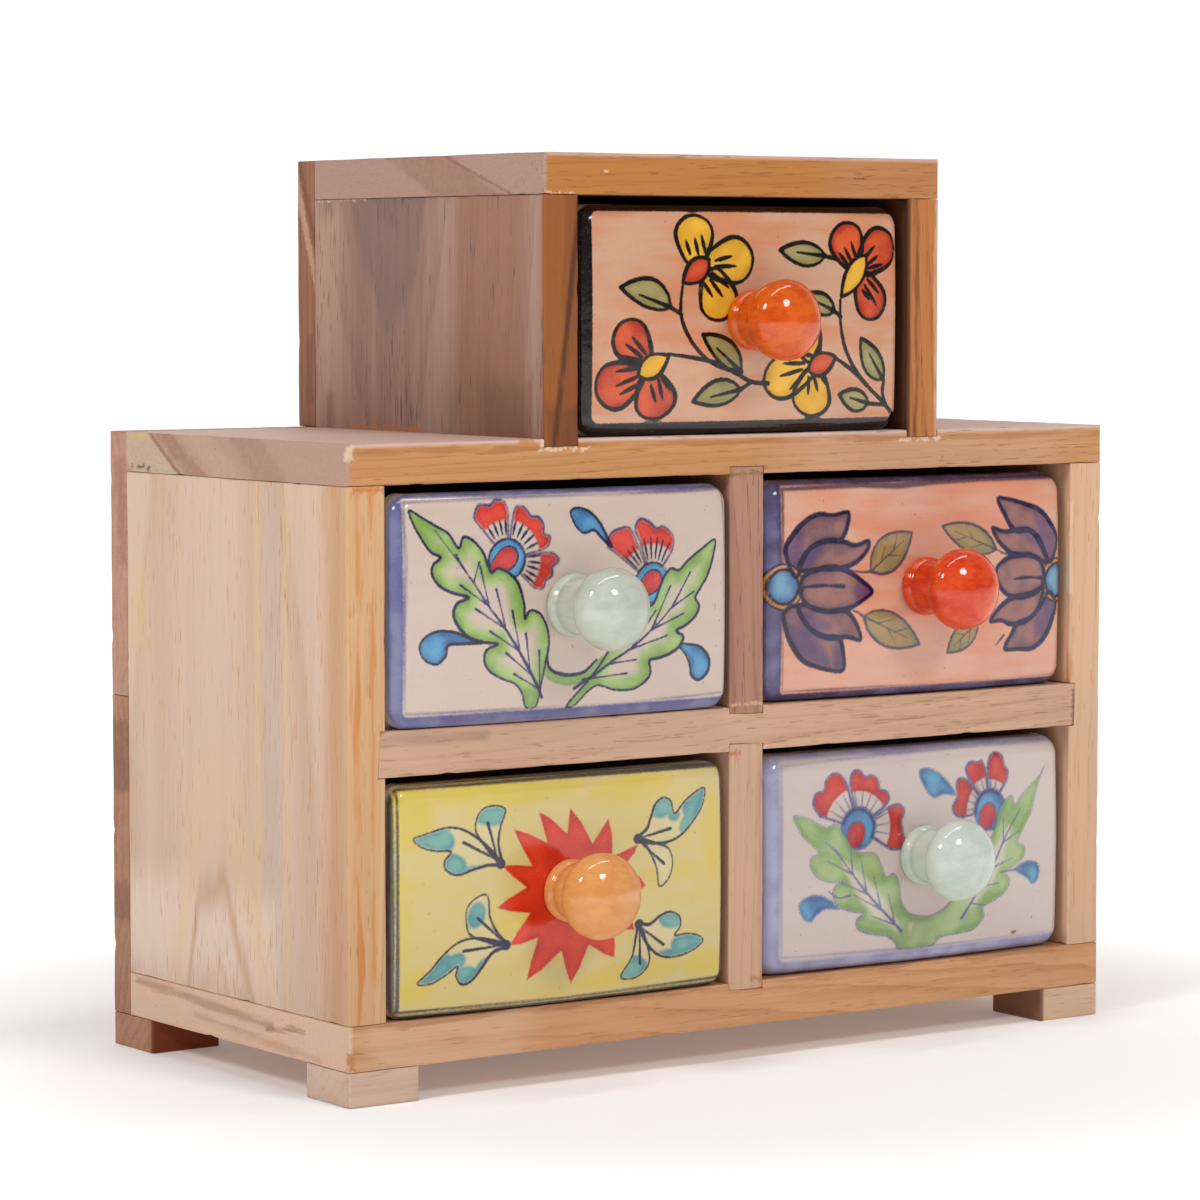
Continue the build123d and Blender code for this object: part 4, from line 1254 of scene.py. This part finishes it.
def make_knob(name, seed):
    """The CAD knob's turned profile, drawn finely and a little out of round."""
    node = f"knob_{name}"
    place = corners(nodes[node].data)
    low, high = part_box(node)
    middle = np.array([(low.x + high.x) / 2, (low.z + high.z) / 2])
    radius = np.hypot(place[:, X] - middle[0], place[:, Z] - middle[1])
    depth = high.y - place[:, Y]
    keys = np.round(depth / PROFILE_STEP).astype(int)
    profile = np.array([(depth[keys == key].mean(), radius[keys == key].max()) for key in np.unique(keys)])
    profile[-1, 1] = 0.0
    smooth = curve(profile, closed=False, steps=4)
    run = run_along(smooth)
    even = np.linspace(0, run[-1], KNOB_ROWS)
    deep = np.interp(even, run, smooth[:, 0])
    wide = np.maximum(np.interp(even, run, smooth[:, 1]), 0)
    angle = np.linspace(0, 2 * np.pi, KNOB_TURNS, endpoint=False)
    phase = np.random.default_rng(seed).uniform(0, 6.28, 6)
    share = even / run[-1]
    wobble = (1 + 0.006 * np.sin(2 * angle[None] + phase[0] + 2 * share[:, None])
              + 0.004 * np.sin(3 * angle[None] + phase[1] - 4 * share[:, None])) - 0.010
    reach = wide[:, None] * wobble
    x = middle[0] + reach * np.cos(angle)[None]
    z = middle[1] + reach * np.sin(angle)[None]
    y = np.repeat((high.y - deep)[:, None], KNOB_TURNS, 1)
    verts = np.stack([x, y, z], 2)[:-1].reshape(-1, 3).tolist()
    last = (KNOB_ROWS - 2) * KNOB_TURNS
    foot, nose = len(verts), len(verts) + 1
    verts.append((middle[0], high.y, middle[1]))
    verts.append((middle[0], high.y - deep[-1], middle[1]))
    turns = [(j, (j + 1) % KNOB_TURNS) for j in range(KNOB_TURNS)]
    faces = []
    for row in range(0, last, KNOB_TURNS):
        faces += [(row + j, row + k, row + KNOB_TURNS + k, row + KNOB_TURNS + j) for j, k in turns]
    for j, k in turns:
        faces.append((foot, k, j))
        faces.append((nose, last + j, last + k))
    mesh = solid(node, verts, faces)
    mesh.shade_smooth()
    set_float(mesh, "waist", np.exp(-((corners(mesh)[:, Y] - (high.y - WAIST_AT)) / WAIST_HALF) ** 2))
    material = knob_glaze(f"knob_glaze_{name}", *KNOB_COLORS[name], seed)
    return add_piece(f"{name}_ball_knob", mesh, node, material)


# ---- boards: one timber for each ----
# planes of the faces that colours are laid on, mm
FRONT_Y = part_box("lower_top")[0].y / MM
LEFT_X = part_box("lower_top")[0].x / MM
DECK_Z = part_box("lower_top")[1].z / MM
UPPER_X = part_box("upper_top")[0].x / MM
CAP_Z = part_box("upper_top")[1].z / MM
OCHRE = (186, 124, 62)
GLUE = (196, 118, 56)
FILLER = (226, 196, 168)


def face(axis, place, shade, amount=1.0):
    """A colour that covers one whole face of a board."""
    at, size = [None] * 3, [None] * 3
    at[axis], size[axis] = place, 0.9
    return dict(shade=shade, at=at, size=size, soft=0.5, amount=amount, ragged=0)


def patch(shade, soft, amount, ragged, grainy=None, x=(None, None), y=(None, None), z=(None, None), **more):
    """A tint() in the box whose middle and half size are given for each axis that bounds it."""
    at, size = zip(x, y, z)
    return dict(shade=shade, at=at, size=size, soft=soft, amount=amount, ragged=ragged, grainy=grainy, **more)


BOARDS = {
    "lower_left_side": dict(
        grain=2, colors=((210, 181, 160), (193, 157, 130), OCHRE), spacing=7, pith=(70, 16.5), phase=4.2,
        rings=0.55, streaks=0.24, pores=0.6, wander=0.3, crowded=(1, -43, -26),
        bands=(
            (195.75, 196, (184, 136, 94), 0.62, 0.2), (196.3, 197.3, (222, 186, 138), 0.4, 0.4),
            (194.95, 195.05, (200, 156, 118), 0.45, 0.12)),
        tints=(
            patch((192, 170, 158), 2.2, 0.5, 1, 2, y=(-8.4, 4.2)),
            patch((232, 206, 188), 8, 0.85, 4, 2, y=(30, 40), z=(34, 12)),
            patch((196, 146, 100), 5, 0.75, 2, 2, y=(-38, 5)),
            patch((226, 188, 128), 1.4, 0.42, 1.4, 2, y=(-1.6, 0.9)),
            patch((226, 188, 128), 1.4, 0.42, 1.4, 2, y=(-15, 0.8)),
            patch((216, 188, 116), 4, 0.45, 2, y=(57, 3), z=(116, 9)),
            face(1, FRONT_Y, (214, 168, 122), 0.85),
            patch((206, 128, 56), 0.7, 0.75, 2.2, 2, x=(-117.4, 0.5), y=(FRONT_Y, 0.9)),
            patch((206, 128, 56), 0.5, 0.6, 1.8, 2, x=(-113.2, 0.2), y=(FRONT_Y, 0.9))),
        stains=(patch(GLUE, 0.5, 0.8, 1.2, x=(-114, 4.6), y=(FRONT_Y, 1.2), z=(149.6, 0.5)),)),
    "lower_right_side": dict(
        grain=2, colors=((216, 176, 144), (196, 152, 116), OCHRE), spacing=4, pith=(200, 0), rings=0.4,
        streaks=0.3, pores=0.5, wander=0.6,
        stains=(
            patch(FILLER, 0.5, 0.8, 1.5, 2, x=(109.9, 0.4), y=(FRONT_Y, 1.2), z=(128, 12)),
            patch(GLUE, 0.4, 0.7, 1.2, 2, x=(110, 0.4), y=(FRONT_Y, 1.2), z=(96, 5)))),
    "lower_top": dict(
        grain=0, colors=((198, 144, 92), (170, 110, 58), (158, 92, 40)), spacing=2.2, pith=(-30, 250),
        rings=0.45, streaks=0.4, pores=0.6, wander=1.2,
        tints=(
            patch((200, 160, 138), 30, 0.75, 2, 0, x=(60, 40), y=(FRONT_Y, 3)),
            patch((164, 104, 56), 0.7, 0.55, 2, 0, y=(FRONT_Y, 3), z=(158.6, 0.5)),
            face(2, DECK_Z, (212, 180, 168), 0.9), face(0, LEFT_X, (180, 144, 126)),
            patch((152, 108, 86), 2.2, 0.75, 2, x=(LEFT_X, 0.9), y=(36, 4.4), lean=(1, 2, 155.6, 1.7)),
            patch((196, 160, 142), 4, 0.6, 2, x=(LEFT_X, 0.9), y=(20, 6), lean=(1, 2, 155.6, 1.6)),
            patch((156, 112, 90), 4, 0.65, 2, x=(LEFT_X, 0.9), y=(-2, 7), lean=(1, 2, 155.6, 1.2)),
            patch((190, 166, 142), 0.8, 0.9, 0.8, x=(LEFT_X, 0.9), y=(56, 11), lean=(1, 2, 155.6, 1.5)),
            patch((140, 98, 78), 0.9, 0.85, 0.8, x=(LEFT_X, 0.9), y=(43.6, 0.9), lean=(1, 2, 155.6, 1.5)),
            patch((206, 176, 112), 0.8, 0.7, 1.5, x=(LEFT_X, 0.9), y=(56, 5), z=(159.8, 0.8)),
            patch((98, 72, 60), 0.25, 0.85, 1.6, x=(LEFT_X, 0.9), y=(56, 5.5), z=(151.8, 0.12))),
        stains=(
            patch(GLUE, 0.6, 0.75, 1.2, x=(-68, 2.6), y=(FRONT_Y, 1.4), z=(160.2, 0.7)),
            patch(FILLER, 0.35, 0.9, 1.4, x=(-57, 7.4), y=(FRONT_Y, 1.4), z=(158.2, 0.25)),
            patch(FILLER, 0.35, 0.85, 1, x=(-63.4, 0.4), y=(FRONT_Y, 1.4), z=(160, 1.6)),
            patch(FILLER, 0.35, 0.8, 1.4, x=(57, 6.6), y=(FRONT_Y, 1.4), z=(158.2, 0.25)),
            patch((168, 110, 74), 0.4, 0.8, 1.2, x=(0, 6.4), y=(FRONT_Y, 1.4), z=(152, 0.3)),
            patch(FILLER, 0.5, 0.8, 1.2, x=(LEFT_X + 0.8, 1), y=(FRONT_Y, 1.2), z=(158.4, 1.6)))),
    "lower_bottom": dict(
        grain=0, colors=((214, 160, 116), (184, 122, 74), (148, 88, 44)), spacing=3, pith=(60, -40),
        drift=0.05, rings=0.6, streaks=0.4, pores=0.4, wander=2.2,
        tints=(
            patch((226, 188, 158), 12, 0.75, 2, 0, x=(-92, 22), y=(FRONT_Y, 3)),
            patch((170, 112, 72), 0.8, 0.6, 2, 0, y=(FRONT_Y, 3), z=(19.4, 0.5)),
            face(0, LEFT_X, (230, 192, 166), 0.9),
            patch(
                (172, 126, 98), 1.1, 0.65, 1.2, 1, x=(LEFT_X, 0.9), y=(26, 34), z=(17, 1),
                lean=(2, 1, 26, 0.045)),
            patch(
                (186, 142, 114), 1, 0.5, 1.2, 1, x=(LEFT_X, 0.9), y=(0, 30), z=(11.6, 0.7),
                lean=(2, 1, 0, 0.05)),
            patch(
                (150, 104, 80), 0.6, 0.7, 1.4, 1, x=(LEFT_X, 0.9), y=(-14, 9), z=(15.4, 0.5),
                lean=(2, 1, -14, -0.1)),
            patch((220, 192, 172), 1.2, 0.7, 1.4, 1, x=(LEFT_X, 0.9), y=(54, 10), z=(11.5, 2))),
        stains=(patch(GLUE, 0.4, 0.8, 1.2, x=(LEFT_X + 0.6, 0.7), y=(FRONT_Y, 1.3), z=(11.4, 1.9)),)),
    "shelf": dict(
        grain=0, colors=((206, 166, 138), (180, 136, 106), (132, 92, 68)), spacing=2.6, pith=(40, 160),
        rings=0.45, streaks=0.42, pores=0.45, wander=1.4,
        tints=(
            patch((158, 124, 108), 2, 0.55, 2.6, 0, x=(-96, 16), y=(FRONT_Y, 3), z=(88, 1.2)),
            patch((216, 178, 150), 18, 0.5, 2, 0, x=(-30, 30), y=(FRONT_Y, 3))),
        stains=(
            patch(GLUE, 0.4, 0.8, 1, x=(LEFT_X + 9.2, 0.9), y=(FRONT_Y, 1.3), z=(90.6, 0.9)),
            patch((120, 84, 64), 0.3, 0.7, 0.8, x=(111, 0.35), y=(FRONT_Y, 1.2), z=(85, 5)),
            patch(FILLER, 0.35, 0.8, 1.2, x=(0, 6.6), y=(FRONT_Y, 1.3), z=(91, 0.25)),
            patch(FILLER, 0.35, 0.6, 1.2, x=(0, 6.6), y=(FRONT_Y, 1.3), z=(80, 0.25)))),
    "upper_divider": dict(
        grain=2, colors=((174, 130, 106), (142, 98, 76), (108, 74, 60)), spacing=2, pith=(-60, 40),
        rings=0.5, streaks=0.5, pores=0.7, wander=0.8,
        stains=(
            patch((134, 86, 56), 0.5, 0.7, 1.2, y=(FRONT_Y, 1.3), z=(150.6, 0.4)),
            patch((220, 180, 150), 0.4, 0.7, 1, y=(FRONT_Y, 1.3), z=(91.6, 0.3)))),
    "lower_divider": dict(
        grain=2, colors=((210, 170, 142), (190, 146, 116), (158, 108, 76)), spacing=3, pith=(80, -10),
        rings=0.4, streaks=0.35, pores=0.4, wander=0.8,
        tints=(patch((190, 140, 100), 0.8, 0.5, 1.2, 2, x=(4.4, 0.5), y=(FRONT_Y, 3)),),
        stains=(
            patch(GLUE, 0.4, 0.8, 1, x=(-3.6, 1.6), y=(FRONT_Y, 1.3), z=(79.2, 0.5)),
            patch(GLUE, 0.4, 0.7, 1, x=(3.4, 1.8), y=(FRONT_Y, 1.3), z=(20.6, 0.5)))),
    "lower_back_lower_board": dict(
        grain=0, colors=((174, 126, 98), (140, 92, 66), (110, 74, 58)), spacing=3, pith=(210, 50),
        rings=0.55, streaks=0.4, pores=0.5, wander=2,
        tints=(
            patch((126, 82, 60), 1.5, 0.6, 2, x=(LEFT_X, 1.5), z=(76, 9)),
            patch((120, 80, 60), 1.2, 0.55, 2.4, x=(LEFT_X, 1.5), z=(38, 5)))),
    "lower_back_upper_board": dict(
        grain=0, colors=((184, 140, 118), (154, 108, 86), (120, 84, 68)), spacing=3, pith=(190, 130),
        rings=0.45, streaks=0.4, pores=0.4, wander=2,
        tints=(
            patch(
                (150, 108, 88), 1.5, 0.6, 2, x=(LEFT_X, 1.5), y=(66, 2), z=(140, 14),
                lean=(1, 2, 140, 0.05)),)),
    "upper_left_side": dict(
        grain=2, colors=((171, 135, 119), (136, 101, 86), (92, 72, 68)), spacing=2.4, pith=(127.2, 29),
        drift=-0.035, rings=0.45, streaks=0.42, pores=0.7, wander=0.25,
        bands=((150, 183.25, (122, 94, 86), 0.7, 0.22), (183.3, 183.75, (136, 98, 80), 0.4, 0.2)),
        tints=(
            patch((186, 148, 126), 3, 0.6, 2.5, 2, y=(57, 5), z=(185, 30)),
            patch((152, 104, 82), 4, 0.75, 2.5, 2, y=(-20, 15)),
            patch((136, 94, 74), 2.5, 0.65, 5, 2, y=(-27, 10), z=(164, 10)),
            patch((120, 86, 74), 2, 0.6, 2.5, 2, y=(56, 2.4), z=(163, 7)), face(1, FRONT_Y, (150, 86, 34)),
            patch((132, 72, 30), 1, 0.75, 1.2, 2, x=(-54.4, 2.4), y=(FRONT_Y, 0.9)),
            patch(
                (84, 42, 20), 0.6, 0.9, 0.7, 2, x=(-57.4, 0.75), y=(FRONT_Y, 0.9), lean=(0, 2, 177, 0.127)),
            patch((88, 44, 22), 3, 0.7, 1.6, 2, x=(-57.6, 4.6), y=(FRONT_Y, 0.9), z=(162, 6))),
        stains=(
            patch(GLUE, 0.6, 0.6, 2, x=(UPPER_X, 1.2), y=(30, 18), z=(DECK_Z + 0.5, 0.7)),
            patch(FILLER, 0.3, 0.6, 1.2, x=(UPPER_X, 1.2), y=(50, 12), z=(CAP_Z - 10.6, 0.2)))),
    "upper_right_side": dict(
        grain=2, colors=((184, 116, 62), (146, 80, 36), (100, 60, 36)), spacing=2.2, pith=(-40, -160),
        rings=0.6, streaks=0.5, pores=0.6, wander=0.8,
        tints=(
            # the inner face at x 52.6, beside the drawers, is painted near black: painted shade in the gap
            face(0, 52.6, (64, 34, 20), 0.9), patch((110, 64, 36), 0.8, 0.75, 1.2, 2, x=(55.6, 0.5)),
            patch((216, 182, 156), 0.6, 0.6, 1, 2, x=(62.4, 0.7), y=(FRONT_Y, 2)))),
    "upper_top": dict(
        grain=0, colors=((180, 118, 58), (154, 90, 34), (128, 76, 38)), spacing=2.4, pith=(10, 330),
        rings=0.4, streaks=0.35, pores=0.5, wander=1.2,
        tints=(
            patch((182, 132, 98), 14, 0.6, 2, 0, x=(52, 20), y=(FRONT_Y, 2)),
            face(2, CAP_Z, (206, 168, 146), 0.8), face(0, UPPER_X, (176, 140, 124)),
            patch((150, 106, 86), 4, 0.8, 2, x=(UPPER_X, 0.9), y=(2, 14), lean=(1, 2, 226, 2.2)),
            patch((128, 90, 72), 1.2, 0.6, 1.2, x=(UPPER_X, 0.9), y=(-14, 1), lean=(1, 2, 226, 3))),
        stains=(
            patch((230, 200, 160), 0.3, 0.8, 0.6, x=(-44, 0.6), y=(FRONT_Y, 1.2), z=(226.6, 0.3)),
            patch((90, 50, 26), 0.2, 0.8, 0.6, x=(36, 1.6), y=(FRONT_Y, 1.2), z=(225.8, 0.12)),
            patch(FILLER, 0.3, 0.7, 1, x=(UPPER_X + 4, 5), y=(FRONT_Y, 1.2), z=(221.2, 0.15)))),
    "upper_back": dict(
        grain=2, colors=((160, 108, 80), (126, 78, 54), (96, 60, 48)), spacing=3, pith=(-20, 140),
        rings=0.55, streaks=0.4, pores=0.5, wander=1.5,
        tints=(
            patch((196, 156, 128), 0.7, 0.75, 1, x=(UPPER_X, 1.5), y=(68, 1.3), lean=(1, 2, 214, 0.36)),
            patch((108, 70, 52), 0.9, 0.7, 1, x=(UPPER_X, 1.5), y=(64.6, 1), lean=(1, 2, 214, 0.36)),
            patch((120, 78, 60), 1, 0.6, 1.2, 2, x=(UPPER_X, 1.5), y=(66, 1.6), z=(176, 9)))),
    "foot_front_left": dict(
        grain=0, colors=((218, 188, 168), (196, 162, 142), (150, 112, 92)), spacing=3, pith=(20, 60),
        rings=0.3, streaks=0.4, pores=0.4),
    "foot_front_right": dict(
        grain=0, colors=((224, 186, 156), (204, 164, 134), (150, 106, 80)), spacing=3, pith=(-20, 60),
        # its inner face, which looks under the chest, is painted dark: painted shade
        rings=0.3, streaks=0.4, pores=0.4, tints=(face(0, 100.25, (126, 84, 62), 0.9),)),
    "foot_rear_left": dict(
        grain=0, colors=((184, 136, 106), (146, 96, 66), (110, 70, 50)), spacing=3, pith=(0, -40),
        # its front face, which stands under the chest, is painted dark: painted shade
        rings=0.4, streaks=0.4, pores=0.4, tints=(face(1, 51.7, (128, 56, 24), 0.95),)),
    "foot_rear_right": dict(
        grain=0, colors=((190, 146, 116), (160, 114, 86), (120, 80, 58)), spacing=3, pith=(10, -40),
        rings=0.4, streaks=0.4, pores=0.4),
}

add_camera()
add_stage()
add_light()

for seed, (node, timber) in enumerate(BOARDS.items(), 1):
    material = wood(f"wood_{node}", seed=seed, **timber)
    kind = "block" if "foot" in node else "board"
    add_piece(f"{node}_{kind}", board_mesh(node, seed), node, material)
for seed, name in enumerate(FRONTS, 1):
    make_drawer(name, seed)
    make_knob(name, seed)
